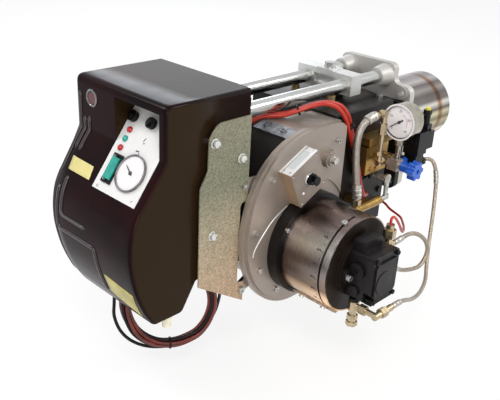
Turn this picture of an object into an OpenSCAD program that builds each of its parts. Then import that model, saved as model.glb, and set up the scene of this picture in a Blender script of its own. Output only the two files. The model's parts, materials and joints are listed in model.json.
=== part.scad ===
// Two-stage oil burner on slide rails, with hood, fan housing, air drum,
// oil pump, valve group and blast tube.
// Frame: +X runs along the blast tube into the boiler, +Z up. The origin is
// the centre of the flange face that bolts to the boiler. The air drum and
// the pump are on the -Y side.

/* [Flange] */
// Thickness of the cast mounting flange
flange_t = 14; // [10:1:20]
// Width of the flange across its ears
flange_w = 202; // [190:2:240]
// Height of the upper ears above the tube axis
ear_up = 93; // [88:1:105]
// Depth of the lower ears below the tube axis
ear_down = 105; // [98:1:120]
// Width of the upper tab that carries the rails
tab_w = 122; // [112:2:140]
// Bore of the four mounting holes
hole_d = 11; // [8:0.5:14]
// Half distance between the mounting holes across
hole_y = 83; // [78:1:88]
// Height of the upper mounting holes
hole_up = 80; // [74:1:84]
// Depth of the lower mounting holes
hole_down = 91; // [84:1:94]

/* [Blast tube] */
// Outside diameter of the blast tube
tube_d = 138; // [120:2:142]
// Length of the blast tube beyond the flange face
tube_len = 200; // [160:5:300]
// Wall of the blast tube
tube_wall = 2; // [1.5:0.5:4]

/* [Slide rails] */
// Diameter of the two rails
rail_d = 24; // [20:1:26]
// Distance between the rail axes
rail_pitch = 82; // [78:1:86]
// Height of the rail axes above the tube axis
rail_z = 106; // [104:1:110]
// Length of the rails behind the flange face
rail_len = 428; // [400:2:430]
// Thickness of the rail bridge along the rails
bridge_t = 30; // [24:1:36]
// Height of the rail bridge
bridge_h = 36; // [33:1:40]
// Distance of the bridge front face behind the flange face
bridge_gap = 114; // [90:2:130]

/* [Head casing] */
// Length of the box of the head casing
case_len = 162; // [150:2:164]
// Width of the head casing
case_w = 194; // [184:2:198]
// Height of the casing roof above the tube axis
case_up = 80; // [78:1:82]
// Depth of the casing floor below the tube axis
case_down = 155; // [140:1:165]
// Wall of the head casing
case_wall = 5; // [4:0.5:8]
// Length of the neck between the casing box and the flange
neck_len = 46; // [40:1:60]

/* [Fan housing] */
// Distance of the fan axis behind the flange face
fan_back = 318; // [316:1:320]
// Depth of the fan axis below the tube axis
fan_down = 102; // [98:1:106]
// Distance of the fan cover face from the burner's middle plane
cover_y = 126; // [122:1:130]
// Thickness of the cast fan cover
cover_t = 15; // [14:1:18]
// Depth of the fan housing behind its cover
scroll_depth = 73; // [66:1:76]
// Wall of the fan housing
scroll_wall = 5; // [4:0.5:7]
// How far the housing stands inside the edge of its cover
scroll_inset = 22; // [20:1:24]
// Diameter of the fan wheel
wheel_d = 124; // [110:2:130]
// Number of fan blades
blade_count = 30; // [16:2:36]
// Diameter of the drive shaft
shaft_d = 14; // [12:1:18]

/* [Motor] */
// Diameter of the motor shell
motor_d = 124; // [100:2:130]
// Length of the motor
motor_len = 150; // [120:5:180]

/* [Air drum] */
// Diameter of the air drum
drum_d = 156; // [148:2:160]
// Length of the drum with its collar
drum_len = 110; // [90:2:120]
// Diameter of the black collar at the drum's foot
collar_d = 172; // [168:2:178]
// Length of the collar
collar_len = 20; // [14:1:26]
// Width of the regulating ring at the drum's end
ring_w = 11; // [8:1:14]
// Wall of the drum
drum_wall = 2; // [1.5:0.5:3]

/* [Oil pump] */
// Width of the pump's front cover
pump_w = 64; // [58:1:70]
// Height of the pump's front cover
pump_h = 82; // [76:1:88]
// Length of the pump body
pump_len = 32; // [28:1:40]
// Thickness of the pump's front cover
pump_lid = 16; // [12:1:20]

/* [Hood] */
// Width of the moulded hood
hood_w = 204; // [196:2:208]
// Height of the hood's top above the tube axis
hood_up = 165; // [160:1:172]
// Wall of the hood
hood_wall = 4; // [3:0.5:5]
// Rounding of the hood's side edges
hood_round = 6; // [3:1:8]
// Width of the control panel
panel_w = 96; // [90:1:100]
// Diameter of the thermometer dial
dial_d = 54; // [46:1:60]

/* [Brackets] */
// Thickness of the galvanised side brackets
plate_t = 2; // [1.5:0.5:3]
// Space between the hood and each side bracket
side_clear = 6; // [4:0.5:8]

/* [Valve group] */
// Diameter of the pressure gauge
gauge_d = 63; // [50:1:68]
// Diameter of the valve's handwheel
knob_d = 34; // [28:1:40]
// Bore diameter of the jack that drives the air flap
jack_d = 16; // [14:1:20]

/* [Clearances] */
// Radial running clearance of shafts and slides
fit = 0.05; // [0.02:0.01:0.1]
// Gap between faces of pieces that move past each other
gap = 0.3; // [0.2:0.1:1]

/* [Hidden] */
$fn = 64;
eps = 0.02;

// Derived places on the long axis
tube_r = tube_d / 2;
case_x1 = -flange_t;                        // casing flange meets the flange
case_x0 = case_x1 - neck_len - case_len;    // rear face of the casing box
neck_x = case_x1 - neck_len;                // casing box ends, neck begins
bridge_x1 = -bridge_gap;
bridge_x0 = bridge_x1 - bridge_t;
rail_y = rail_pitch / 2;
bridge_z0 = rail_z - bridge_h / 2 + 2;
fan_x = -fan_back;
fan_z = -fan_down;
scroll_y1 = -(cover_y - cover_t);           // cover meets the housing
scroll_y0 = scroll_y1 + scroll_depth;       // back wall of the housing
drum_y0 = -cover_y;                         // drum collar on the cover
drum_y1 = drum_y0 - drum_len;               // end of the drum
drum_r = drum_d / 2;
screw_r = drum_r + 4.2;                     // circle of the collar screws
shaft_r = shaft_d / 2;
pump_y0 = drum_y1 - 6;
pump_x = fan_x;
pump_z = fan_z;
clamp_x = pump_w / 2 + 11;                   // clamp screws of the pump
hood_front = -587;
hood_back = -434;
hood_low = -156;
kink_z = 88;
slope_dx = 46;
slope_dz = 62;
slope_a = atan2(slope_dz, slope_dx);
panel_y = 62 - hood_w / 2;
plate_y = hood_w / 2 + side_clear;
lug_t = plate_y - hood_w / 2 - gap;

// Outline of the fan housing as radii about the fan axis, by angle from the
// bottom, turning past the rear to the top
scroll_list = [[-90, 93], [-60, 98], [-30, 104], [0, 110], [20, 113],
    [39, 115], [64, 121], [83, 129], [97, 136], [112, 145], [126, 156],
    [136, 166], [149, 177], [160, 182], [170, 186], [180, 188]];
scroll_top = 188;

function lerp(a, b, t) = a + (b - a) * t;
function cubic(p0, p1, p2, p3, t) =
    0.5 * (2 * p1 + (p2 - p0) * t
    + (2 * p0 - 5 * p1 + 4 * p2 - p3) * t * t
    + (3 * p1 - p0 - 3 * p2 + p3) * t * t * t);
function table(list, x, i = 0) =
    i >= len(list) - 2 || x <= list[i + 1][0]
    ? lerp(list[i][1], list[i + 1][1],
        (x - list[i][0]) / (list[i + 1][0] - list[i][0]))
    : table(list, x, i + 1);
function smooth(list, x, w = 8) =
    (table(list, x - w) + table(list, x) + table(list, x + w)) / 3;

// Housing outline in the XZ plane, inset by d: the scroll, the flat top, a
// rounded corner and the straight front edge
function inset(a, d) = d * (1 - 0.86 * min(1, max(0, a - 120) / 40));
function scroll_pts(d) = let (t = 0.14 * d) concat(
    [for (a = [-84:6:174]) let (r = smooth(scroll_list, a) - inset(a, d))
        [fan_x - r * sin(a), fan_z - r * cos(a)]],
    [[fan_x, fan_z + scroll_top - t], [fan_x + 60, fan_z + 187 - t],
     [fan_x + 76 - t, fan_z + 184 - t], [fan_x + 87 - t, fan_z + 176 - t],
     [fan_x + 93 - d, fan_z + 164 - t], [fan_x + 93 - d, fan_z]]);

// Side profile of the hood in the XZ plane, front edge from the top down
hood_edge = [[-587, 165], [-587, 88], [-610, 57], [-633, 26], [-641, 9],
    [-645, -8], [-647, -27], [-646.5, -48], [-643, -70], [-637.5, -92],
    [-630, -113], [-620.5, -134], [-609, -153]];
function edge_x(z) = lookup(-z, [for (p = hood_edge) [-p[1], p[0]]]);

// The profile drawn in by d, with the lower front drawn in by b more
function hood_shape(d, b) = concat(
    [for (p = hood_edge) let (k = min(1, max(0, (kink_z - p[1]) / 50)))
        [p[0] + d + b * k,
            p[1] > kink_z + 1 ? hood_up - d : max(p[1], hood_low + 3 + d)]],
    [[-604 + d + b, hood_low + d], [-554, hood_low + d], [-528, -112 + d],
     [hood_back, -112 + d], [hood_back, hood_up - d]]);

// Places of like pieces
stud_pts = [[-509, 102], [-456, 68], [-509, -39]];
cover_screw_a = [40, 78, 112, 146];
collar_screw_a = [4, 124, 244];
slot_y = drum_y1 + ring_w + 1.8;            // middle of the long slot

// A 2D drawing of y and z, extruded from x0 along +X by h
module yz(x0, h) {
    translate([x0, 0, 0]) rotate([90, 0, 90]) linear_extrude(h) children();
}

// A 2D drawing of x and z, extruded from y0 towards -Y by h
module xz(y0, h) {
    translate([0, y0, 0]) rotate([90, 0, 0]) linear_extrude(h) children();
}

// A rod along X, from x0 to x0 + h
module rod_x(x0, y, z, r, h, f = 64) {
    translate([x0, y, z]) rotate([0, 90, 0]) cylinder(r = r, h = h, $fn = f);
}

// A rod along Y, from y0 towards -Y by h
module rod_y(x, y0, z, r, h, f = 64) {
    translate([x, y0, z]) rotate([90, 0, 0]) cylinder(r = r, h = h, $fn = f);
}

// A rod along Z
module rod_z(x, y, z0, r, h, f = 64) {
    translate([x, y, z0]) cylinder(r = r, h = h, $fn = f);
}

// Rounded rectangle about its own centre
module rrect(w, h, r) {
    square([w - 2 * r, h], center = true);
    square([w, h - 2 * r], center = true);
    for (i = [-1, 1], j = [-1, 1])
        translate([i * (w / 2 - r), j * (h / 2 - r)]) circle(r = r, $fn = 32);
}

// Hexagon head bolt on its seat, head along +Z
module hex_bolt(af, head, shank_r, shank) {
    cylinder(r = af / 2 / cos(30), h = head, $fn = 6);
    translate([0, 0, -1.6]) cylinder(r = af * 0.62, h = 1.6 + eps);
    translate([0, 0, -shank]) cylinder(r = shank_r, h = shank);
}

// Socket head screw on its seat, head along +Z
module cap_screw(head_r, head, shank_r, shank) {
    difference() {
        union() {
            cylinder(r = head_r, h = head);
            translate([0, 0, -shank]) cylinder(r = shank_r, h = shank + eps);
        }
        translate([0, 0, head * 0.45])
            cylinder(r = head_r * 0.55, h = head, $fn = 6);
    }
}

// Tube swept along a route of points: a closed polyhedron with n sides
function unit(v) = v / norm(v);
function spline(p, m) = [for (i = [0:len(p) - 2], k = [0:m - 1])
        cubic(p[max(i - 1, 0)], p[i], p[i + 1],
            p[min(i + 2, len(p) - 1)], k / m), p[len(p) - 1]];
function tangents(p) = [for (i = [0:len(p) - 1])
        unit(p[min(i + 1, len(p) - 1)] - p[max(i - 1, 0)])];
function frames(t, i, n) = i >= len(t) ? [] :
    let (m = unit(n - (n * t[i]) * t[i])) concat([m], frames(t, i + 1, m));
module sweep(route, r, n = 10, m = 3) {
    p = spline(route, m);
    t = tangents(p);
    s = abs(t[0].z) < 0.9 ? [0, 0, 1] : [1, 0, 0];
    f = frames(t, 0, s);
    c = len(p);
    pts = [for (i = [0:c - 1], k = [0:n - 1])
        let (b = cross(t[i], f[i]), a = 360 * k / n)
        p[i] + r * (cos(a) * f[i] + sin(a) * b)];
    sides = [for (i = [0:c - 2], k = [0:n - 1])
        let (q = (k + 1) % n)
        [i * n + k, (i + 1) * n + k, (i + 1) * n + q, i * n + q]];
    polyhedron(points = pts, convexity = 8, faces = concat(
        [[for (k = [0:n - 1]) k]],
        [[for (k = [n - 1:-1:0]) (c - 1) * n + k]],
        sides));
}

// Fixed side: flange, blast tube and rails

module flange_outline() {
    tab_top = rail_z + rail_d / 2 + 11;
    translate([0, (ear_up - ear_down) / 2])
        rrect(flange_w, ear_up + ear_down, 15);
    translate([0, tab_top / 2]) rrect(tab_w, tab_top, 12);
    for (s = [-1, 1]) difference() {
        translate([s * (tab_w / 2 + 6), ear_up + 5]) square([14, 14], center = true);
        translate([s * (tab_w / 2 + 13), ear_up + 12]) circle(r = 12);
    }
}

module mounting_flange() {
    color("silver") difference() {
        union() {
            yz(-flange_t, flange_t) flange_outline();
            for (s = [-1, 1]) translate([-flange_t, s * rail_y, rail_z])
                rotate([0, -90, 0])
                    cylinder(r1 = rail_d / 2 + 9, r2 = rail_d / 2 + 4.5, h = 30);
            for (s = [-1, 1]) rod_x(-flange_t - 3, s * hole_y, hole_up, 12, 4);
        }
        rod_x(-flange_t - 1, 0, 0, tube_r - 1 + fit, flange_t + 2, 96);
        rod_x(-3, 0, 0, tube_r + 1.4, 5, 96);
        for (s = [-1, 1]) {
            rod_x(-flange_t - 31, s * rail_y, rail_z, rail_d / 2 + fit, 41);
            rod_x(-flange_t - 4, s * hole_y, hole_up, hole_d / 2, flange_t + 5);
            rod_x(-flange_t - 1, s * (hole_y - 13), -hole_down, hole_d / 2,
                flange_t + 2);
            rod_x(-flange_t - 1, s * (hole_y + 7), -hole_down, 4 + fit,
                flange_t - 1);
        }
    }
}

module flange_gasket() {
    color("ivory") difference() {
        rod_x(0, 0, 0, tube_r + 18, 5, 96);
        rod_x(-1, 0, 0, tube_r + 3, 7, 96);
    }
}

module blast_tube() {
    color("gainsboro") difference() {
        union() {
            rod_x(-1, 0, 0, tube_r, tube_len + 1, 96);
            rod_x(-flange_t + 2, 0, 0, tube_r - 1, flange_t, 96);
        }
        rod_x(-flange_t + 1, 0, 0, tube_r - tube_wall, tube_len + flange_t + 1, 96);
    }
}

module guide_rails() {
    color("lightgray") for (s = [-1, 1]) difference() {
        union() {
            rod_x(-rail_len + 2, s * rail_y, rail_z, rail_d / 2, rail_len - 7);
            rod_x(-rail_len, s * rail_y, rail_z, rail_d / 2 - 2, 3);
        }
        rod_x(-rail_len - 1, s * rail_y, rail_z, 5, 9, 6);
    }
}

// Burner body: bridge, pillars and head casing

module rail_bridge() {
    w = rail_pitch + rail_d + 16;
    z1 = bridge_z0 + bridge_h;
    color("lightsteelblue") difference() {
        union() {
            translate([bridge_x0, -w / 2, bridge_z0]) cube([bridge_t, w, bridge_h]);
            translate([bridge_x0, -18, z1]) cube([bridge_t, 36, 2]);
        }
        for (s = [-1, 1])
            rod_x(bridge_x0 - 1, s * rail_y, rail_z, rail_d / 2 + fit, bridge_t + 2);
        translate([bridge_x0 - 1, -rail_y + 19, bridge_z0 + 10])
            cube([7, 2 * rail_y - 38, bridge_h - 20]);
        rod_z(bridge_x0 + bridge_t / 2, 0, bridge_z0 - 1, 5 + fit, bridge_h + 4);
    }
}

module slide_pillars() {
    color("goldenrod") for (s = [-1, 1]) {
        rod_z(case_x0 + 51, s * rail_y, case_up, 7.5,
            rail_z - rail_d / 2 - gap - case_up, 6);
        rod_z(case_x0 + 51, s * rail_y, case_up - case_wall + 1, 3, case_wall);
    }
}

module head_casing() {
    w = case_w;
    h = case_up + case_down;
    zc = (case_up - case_down) / 2;
    plate_h = ear_down + 66;
    color("dimgray") difference() {
        union() {
            yz(case_x0, case_len) translate([0, zc]) rrect(w, h, 5);
            yz(neck_x - 1, neck_len - 11) translate([0, -8]) rrect(152, 150, 20);
            yz(case_x1 - 12, 12)
                translate([0, 66 - plate_h / 2]) rrect(flange_w, plate_h, 12);
            translate([bridge_x0, -25, case_up - 1])
                cube([bridge_t, 50, bridge_z0 - case_up + 1]);
            rod_y(-105, -case_w / 2 + 1, -50, 11, 9);
            translate([neck_x - 12, -case_w / 2 + 1, -92]) rotate([90, 0, 0])
                cylinder(r = 6, h = 5);
        }
        yz(case_x0 + case_wall, case_len - 2 * case_wall)
            translate([0, zc]) rrect(w - 2 * case_wall, h - 2 * case_wall, 3);
        rod_x(neck_x - case_wall - 1, 0, 0, tube_r - 5, neck_len + case_wall + 2, 96);
        // air window from the fan
        translate([case_x0 - 1, -case_w / 2 + case_wall + 3, -48])
            cube([case_wall + 2, 48, 114]);
        // seat of the nozzle line in the rear wall
        rod_x(case_x0 - 1, 0, 0, 9 + fit, case_wall + 2);
        // bearing of the air flap
        rod_y(-105, -case_w / 2 + case_wall + 2, -50, 5 + fit, 20);
        for (s = [-1, 1]) {
            rod_x(case_x1 - 13, s * (hole_y - 13), -hole_down, 10.5, 14);
            rod_x(case_x1 - 13, s * (hole_y + 7), -hole_down, 4 + fit, 14);
            rod_z(case_x0 + 51, s * rail_y, case_up - case_wall - 1, 3 + fit,
                case_wall + 2);
        }
        rod_z(bridge_x0 + bridge_t / 2, 0, case_up - case_wall - 1, 5 + fit, 20);
        rod_z(neck_x - 12, -74, case_up - case_wall - 1, 3 + fit, case_wall + 2);
    }
}

// Hexagon and slotted screws of the casing and the bridge
module casing_screws() {
    color("lightsteelblue") {
        for (s = [-1, 1])
            translate([case_x1 - 12, s * (hole_y + 7), -hole_down])
                rotate([0, -90, 0]) cap_screw(7, 6, 4, 20);
        translate([bridge_x0 + bridge_t / 2, 0, bridge_z0 + bridge_h + 3.6])
            hex_bolt(17, 8, 5, bridge_h + 20);
        translate([neck_x - 12, -74, case_up]) difference() {
            union() {
                cylinder(r = 6, h = 5);
                translate([0, 0, -case_wall]) cylinder(r = 3, h = 6);
            }
            translate([-7, -0.8, 3]) cube([14, 1.6, 3]);
        }
    }
}

// Fan housing, fan and motor

module fan_housing() {
    d = scroll_inset;
    duct_z0 = -62;
    color("darkgray") difference() {
        union() {
            xz(scroll_y0, scroll_depth) polygon(scroll_pts(d));
            // outlet duct to the head casing
            translate([-262, scroll_y1 + 4, duct_z0])
                cube([case_x0 + 262, scroll_depth - 8, case_up - duct_z0 - 4]);
            // lugs for the near bracket
            xz(-plate_y + lug_t, lug_t) {
                hull() {
                    translate([-444, -156]) circle(r = 9, $fn = 24);
                    translate([-400, -138]) circle(r = 14, $fn = 24);
                }
                hull() {
                    translate([-447, 22]) circle(r = 8, $fn = 24);
                    translate([-400, 10]) circle(r = 16, $fn = 24);
                }
            }
        }
        // air space of the scroll
        xz(scroll_y0 - scroll_wall, scroll_depth)
            polygon(scroll_pts(d + scroll_wall));
        translate([-272, scroll_y1 + 4 + scroll_wall, duct_z0 + scroll_wall])
            cube([case_x0 + 273, scroll_depth - 8 - 2 * scroll_wall,
                case_up - duct_z0 - 4 - 2 * scroll_wall]);
        // motor spigot hole and bracket screws
        rod_y(fan_x, scroll_y0 + 1, fan_z, 34, scroll_wall + 2);
        for (p = [[-444, -156], [-447, 22]])
            rod_y(p[0], -plate_y + 11, p[1], 3 + fit, 20);
    }
}

module fan_cover() {
    ring = collar_d / 2 + 19;
    color("silver") difference() {
        union() {
            xz(scroll_y1, cover_t - 6) polygon(scroll_pts(0));
            xz(scroll_y1 - cover_t + 7, 7) polygon(scroll_pts(6));
            // plug boss
            rod_y(-275, -cover_y + 1, 29, 15, 11);
            rod_y(-275, -cover_y - 9, 29, 11, 4);
        }
        // shallow pocket round the drum
        intersection() {
            rod_y(fan_x, -cover_y + 3, fan_z, ring, 4, 96);
            translate([fan_x, -cover_y - 2, fan_z - 60])
                cube([120, 6, 190]);
        }
        // air inlet
        rod_y(fan_x, scroll_y1 + 1, fan_z, 60, cover_t + 2, 96);
        for (a = collar_screw_a)
            rod_y(fan_x - screw_r * sin(a), scroll_y1 + 1,
                fan_z - screw_r * cos(a), 2.5 + fit, cover_t + 2, 24);
        rod_y(-275, -cover_y + 8, 29, 5 + fit, 24);
        rod_y(-258, -cover_y + 10, 56, 3 + fit, 12, 24);
        for (a = cover_screw_a) let (r = smooth(scroll_list, a) - 22)
            rod_y(fan_x - r * sin(a), scroll_y1 + 1, fan_z - r * cos(a),
                2.5 + fit, cover_t + 2, 24);
    }
}

module cover_screws() {
    color("lightsteelblue") {
        for (a = cover_screw_a) let (r = smooth(scroll_list, a) - 22)
            translate([fan_x - r * sin(a), -cover_y, fan_z - r * cos(a)])
                rotate([90, 0, 0]) cap_screw(4.5, 4, 2.5, cover_t - 2);
        translate([-275, -cover_y - 14.6, 29]) rotate([90, 0, 0])
            hex_bolt(11, 4, 5, 18);
        translate([-258, -cover_y, 56]) rotate([90, 0, 0])
            cap_screw(3.6, 9, 3, 8);
    }
}

// Forward-curved blades between two rings on a hub
module fan_wheel() {
    r = wheel_d / 2;
    y1 = scroll_y1 + 6;
    y0 = scroll_y0 - scroll_wall - 5;
    w = y0 - y1;
    color("gray") {
        difference() {
            union() {
                rod_y(fan_x, y0, fan_z, r, 2.5, 96);
                rod_y(fan_x, y0, fan_z, 16, 30);
            }
            rod_y(fan_x, y0 + 1, fan_z, shaft_r + 0.01, 40);
        }
        difference() {
            rod_y(fan_x, y1 + 2.5, fan_z, r, 2.5, 96);
            rod_y(fan_x, y1 + 3, fan_z, r - 13, 4, 96);
        }
        for (i = [0:blade_count - 1])
            translate([fan_x, y1 + w / 2, fan_z])
                rotate([0, 360 * i / blade_count, 0])
                    translate([r - 6.5, 0, 0]) rotate([0, 32, 0])
                        cube([11, w - 4, 1.4], center = true);
    }
}

module motor_body() {
    y0 = scroll_y0;
    r = motor_d / 2;
    color("dimgray") difference() {
        union() {
            rod_y(fan_x, y0 + 10, fan_z, r + 12, 10, 96);
            rod_y(fan_x, y0 + 2, fan_z, 33.8, 6);
            rod_y(fan_x, y0 + motor_len - 14, fan_z, r - 6, motor_len - 20, 96);
            rod_y(fan_x, y0 + motor_len, fan_z, r, 16, 96);
            rod_y(fan_x, y0 + motor_len + 3, fan_z, r - 14, 5, 96);
            for (i = [0:35]) if (i % 9 > 0)
                translate([fan_x, y0 + 10, fan_z]) rotate([0, 10 * i, 0])
                    translate([r - 8, 0, -1.2]) cube([8, motor_len - 24, 2.4]);
            for (i = [0:3]) translate([fan_x, y0 + 10, fan_z])
                rotate([0, 90 * i, 0])
                    translate([r - 8, 0, -5]) cube([8, motor_len - 24, 10]);
            // terminal box
            translate([fan_x - 30, y0 + 40, fan_z + r - 8]) cube([60, 60, 26]);
        }
        rod_y(fan_x, y0 + motor_len - 20, fan_z, shaft_r + fit, motor_len);
    }
}

module drive_shaft() {
    y0 = scroll_y0 + motor_len - 22;
    y1 = pump_y0 - 14;
    color("lightgray") {
        rod_y(fan_x, y0, fan_z, shaft_r, y0 - y1);
    }
}

// Air drum

module drum_collar() {
    spigot_r = drum_r - drum_wall - fit;
    color([0.12, 0.12, 0.13]) difference() {
        union() {
            rod_y(fan_x, drum_y0, fan_z, collar_d / 2, collar_len, 96);
            rod_y(fan_x, drum_y0, fan_z, spigot_r, drum_len - 3, 96);
        }
        rod_y(fan_x, drum_y0 + 1, fan_z, spigot_r - 3, drum_len + 2, 96);
        // air windows, away from the camera
        for (a = [-115, -75]) drum_window(a, 14, spigot_r);
        for (a = collar_screw_a)
            rod_y(fan_x - screw_r * sin(a), drum_y0 + 1,
                fan_z - screw_r * cos(a), 2.5 + fit, collar_len + 2, 24);
        rotate_drum(160) translate([0, slot_y, drum_r - 8])
            cylinder(r = 1.7 + fit, h = 10, $fn = 24);
    }
}

// Turns children from the top of the drum: a is measured from the bottom,
// turning past the rear
module rotate_drum(a) {
    translate([fan_x, 0, fan_z]) rotate([0, a - 180, 0]) children();
}

module drum_window(a, half, r) {
    rotate_drum(a) translate([-r * sin(half), drum_y0 - collar_len - 62, r - 12])
        cube([2 * r * sin(half), 52, 20]);
}

// Stainless sleeve that turns on the spigot, with windows and the long slot
module air_drum() {
    y0 = drum_y0 - collar_len - gap;
    color("lightgray") difference() {
        union() {
            rod_y(fan_x, y0, fan_z, drum_r, y0 - drum_y1, 128);
            // seam flange with the clamp strip
            rotate_drum(32) translate([-6, drum_y1, drum_r - 1])
                cube([12, y0 - drum_y1 - 4, 3]);
        }
        rod_y(fan_x, y0 + 1, fan_z, drum_r - drum_wall, drum_len + 2, 128);
        for (a = [-95, -55]) drum_window(a, 14, drum_r);
        xz(slot_y + 1.8, 3.6) polygon(concat([[fan_x, fan_z]],
            [for (a = [42:17:178]) [fan_x - 100 * sin(a), fan_z - 100 * cos(a)]]));
    }
}

// Clamp strip of the sleeve's seam, with its two screws
module drum_strip() {
    y0 = drum_y0 - collar_len - gap;
    color("silver") rotate_drum(32) {
        difference() {
            translate([-5, drum_y1 + 1, drum_r + 2])
                cube([10, y0 - drum_y1 - 7, 2.5]);
            for (y = [drum_y1 + 24, drum_y1 + 68])
                rod_z(0, y, drum_r + 1, 2.5 + fit, 6, 24);
        }
        for (y = [drum_y1 + 24, drum_y1 + 68])
            translate([0, y, drum_r + 4.5]) cap_screw(4, 3.4, 2.5, 2.4);
    }
}

module pointer_screw() {
    color("silver") rotate_drum(160) translate([0, slot_y, drum_r + gap]) {
        difference() {
            cylinder(r = 4.6, h = 3.4);
            translate([-5, -0.6, 2.2]) cube([10, 1.2, 2]);
        }
        translate([0, 0, -6]) cylinder(r = 1.7, h = 6.2);
    }
}

module drum_screws() {
    color("silver") {
        for (a = collar_screw_a)
            translate([fan_x - screw_r * sin(a), drum_y0 - collar_len,
                fan_z - screw_r * cos(a)])
                rotate([90, 0, 0]) cap_screw(3.6, 4, 2.5, collar_len + 10);
        pointer_screw();
    }
}

module drum_disc() {
    r = drum_r - drum_wall - gap;
    color([0.1, 0.1, 0.1]) difference() {
        union() {
            rod_y(fan_x, drum_y1 + 3, fan_z, r, 3, 96);
            rod_y(fan_x, drum_y1, fan_z, 50, 6);
        }
        rod_y(fan_x, drum_y1 + 4, fan_z, shaft_r + 1, 12);
        rod_y(fan_x, drum_y1 - 3, fan_z, 27 + fit, 6);
        for (s = [-1, 1])
            rod_y(pump_x + s * clamp_x, drum_y1 - 1, pump_z, 3 + fit, 8, 24);
    }
}

// Oil pump

module pump_body() {
    w = pump_w;
    h = pump_h;
    color([0.13, 0.13, 0.14]) difference() {
        union() {
            rod_y(pump_x, drum_y1 - 3 - gap, pump_z, 27, 6);
            xz(pump_y0, pump_len) translate([pump_x, pump_z]) rrect(w, h - 2, 6);
            // raised gear case at the top, and the side boss
            xz(pump_y0, pump_len - 10) translate([pump_x - 4, pump_z + h / 2 - 1])
                rrect(w - 20, 34, 6);
            rod_x(pump_x - w / 2 - 5, pump_y0 - 18, pump_z + 12, 13, 8);
            rod_x(pump_x - w / 2 - 4, pump_y0 - 15, pump_z - 24, 9, 6);
            // clamp lugs on the mounting ring
            for (s = [-1, 1]) xz(pump_y0, 9)
                translate([pump_x + s * (w / 2 + 4), pump_z]) rrect(26, 24, 6);
            // ports on the right and below
            rod_x(pump_x + w / 2 - 1, pump_y0 - 20, pump_z - 20, 8, 4);
            rod_x(pump_x + w / 2 - 1, pump_y0 - 12, pump_z + 22, 8, 4);
            rod_z(pump_x - 26, pump_y0 - 14, pump_z - h / 2 - 3, 8, 5);
        }
        rod_y(pump_x, drum_y1, pump_z, shaft_r + fit, 24);
        rod_x(pump_x - w / 2 - 6, pump_y0 - 18, pump_z + 12, 4, 4, 6);
        for (s = [-1, 1])
            rod_y(pump_x + s * clamp_x, pump_y0 + 1, pump_z, 3 + fit, 12, 24);
        for (i = [-1, 1], j = [-1, 1])
            rod_y(pump_x + i * (w / 2 - 7), pump_y0 - pump_len + 12,
                pump_z + j * (h / 2 - 7), 2 + fit, 14, 24);
    }
}

module pump_cover() {
    w = pump_w;
    h = pump_h;
    y0 = pump_y0 - pump_len;
    color([0.1, 0.1, 0.11]) difference() {
        union() {
            xz(y0, pump_lid - 3) translate([pump_x, pump_z]) difference() {
                rrect(w, h, 7);
                for (s = [-1, 1]) translate([0, -h / 2]) rotate([0, 0, 45 * s])
                    translate([s * w / 2, -20]) square([24, 24], center = true);
            }
            xz(y0 - 2, pump_lid - 2) translate([pump_x, pump_z])
                rrect(w - 10, h - 24, 8);
            rod_y(pump_x - 6, y0 - 4, pump_z - 6, 19, pump_lid - 3);
        }
        for (i = [-1, 1], j = [-1, 1])
            rod_y(pump_x + i * (w / 2 - 7), y0 + 1, pump_z + j * (h / 2 - 7),
                2 + fit, pump_lid + 4, 24);
    }
}

module pump_screws() {
    y0 = pump_y0 - pump_len - pump_lid + 3;
    color([0.2, 0.2, 0.21]) for (i = [-1, 1], j = [-1, 1])
        translate([pump_x + i * (pump_w / 2 - 7), y0, pump_z + j * (pump_h / 2 - 7)])
            rotate([90, 0, 0]) cap_screw(4, 4, 2, pump_lid + 8);
    color("silver") for (s = [-1, 1])
        translate([pump_x + s * clamp_x, pump_y0 - 9, pump_z])
            rotate([90, 0, 0]) cap_screw(5.6, 7, 3, 13);
}

// Switch box on the fan cover

box_l = 66;
box_w = 68;
box_t = 24;

// Places children on the switch box: x along its label side, z up its face
module on_box() {
    translate([-346.5, -cover_y, 19]) rotate([0, -26, 0]) children();
}

module switch_box() {
    color("tan") on_box() difference() {
        union() {
            xz(0, 4) rrect(box_l, box_w, 2);
            xz(-4.5, box_t - 4.5) rrect(box_l - 1, box_w - 1, 2);
            xz(-3, 3) rrect(box_l - 4, box_w - 4, 2);
        }
        rod_y(2, -box_t + 8, 0, 4 + fit, 10, 32);
        for (i = [-1, 1], j = [-1, 1])
            rod_y(i * (box_l / 2 - 6), -box_t + 1.5, j * (box_w / 2 - 6), 2, 3, 24);
    }
}

// Knob with its raised finger grip
module box_knob() {
    color([0.08, 0.08, 0.08]) on_box() {
        rod_y(2, -box_t - gap, 0, 9, 7);
        rod_y(2, -box_t + 7, 0, 4, 9, 32);
        difference() {
            rod_y(2, -box_t - 6, 0, 7.4, 9);
            for (s = [-1, 1]) translate([2 + s * 7, -box_t - 13, -10])
                cube([8, 6, 20], center = false);
            translate([2 - 15, -box_t - 20, -10]) cube([9, 12, 20]);
        }
    }
}

// Valve group on the head casing

vx = -118;          // the valve line runs out along -Y here
vz = -12;
vy0 = -case_w / 2;

module valve_block() {
    color("goldenrod") difference() {
        union() {
            translate([vx - 34, vy0 - 20, vz - 26]) cube([62, 20, 52]);
            translate([vx - 38, vy0 - 26, vz + 30]) cube([80, 26, 14]);
            translate([vx - 12, vy0 - 18, vz + 25]) cube([40, 18, 6]);
        }
        rod_y(vx, vy0 - 8, vz, 6 + fit, 20, 32);
        rod_y(vx + 18, vy0 - 8, vz + 4, 5 + fit, 20, 32);
        for (p = [-20, -4]) rod_y(vx + p, vy0 - 17, vz - 16, 4, 8, 24);
    }
}

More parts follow.
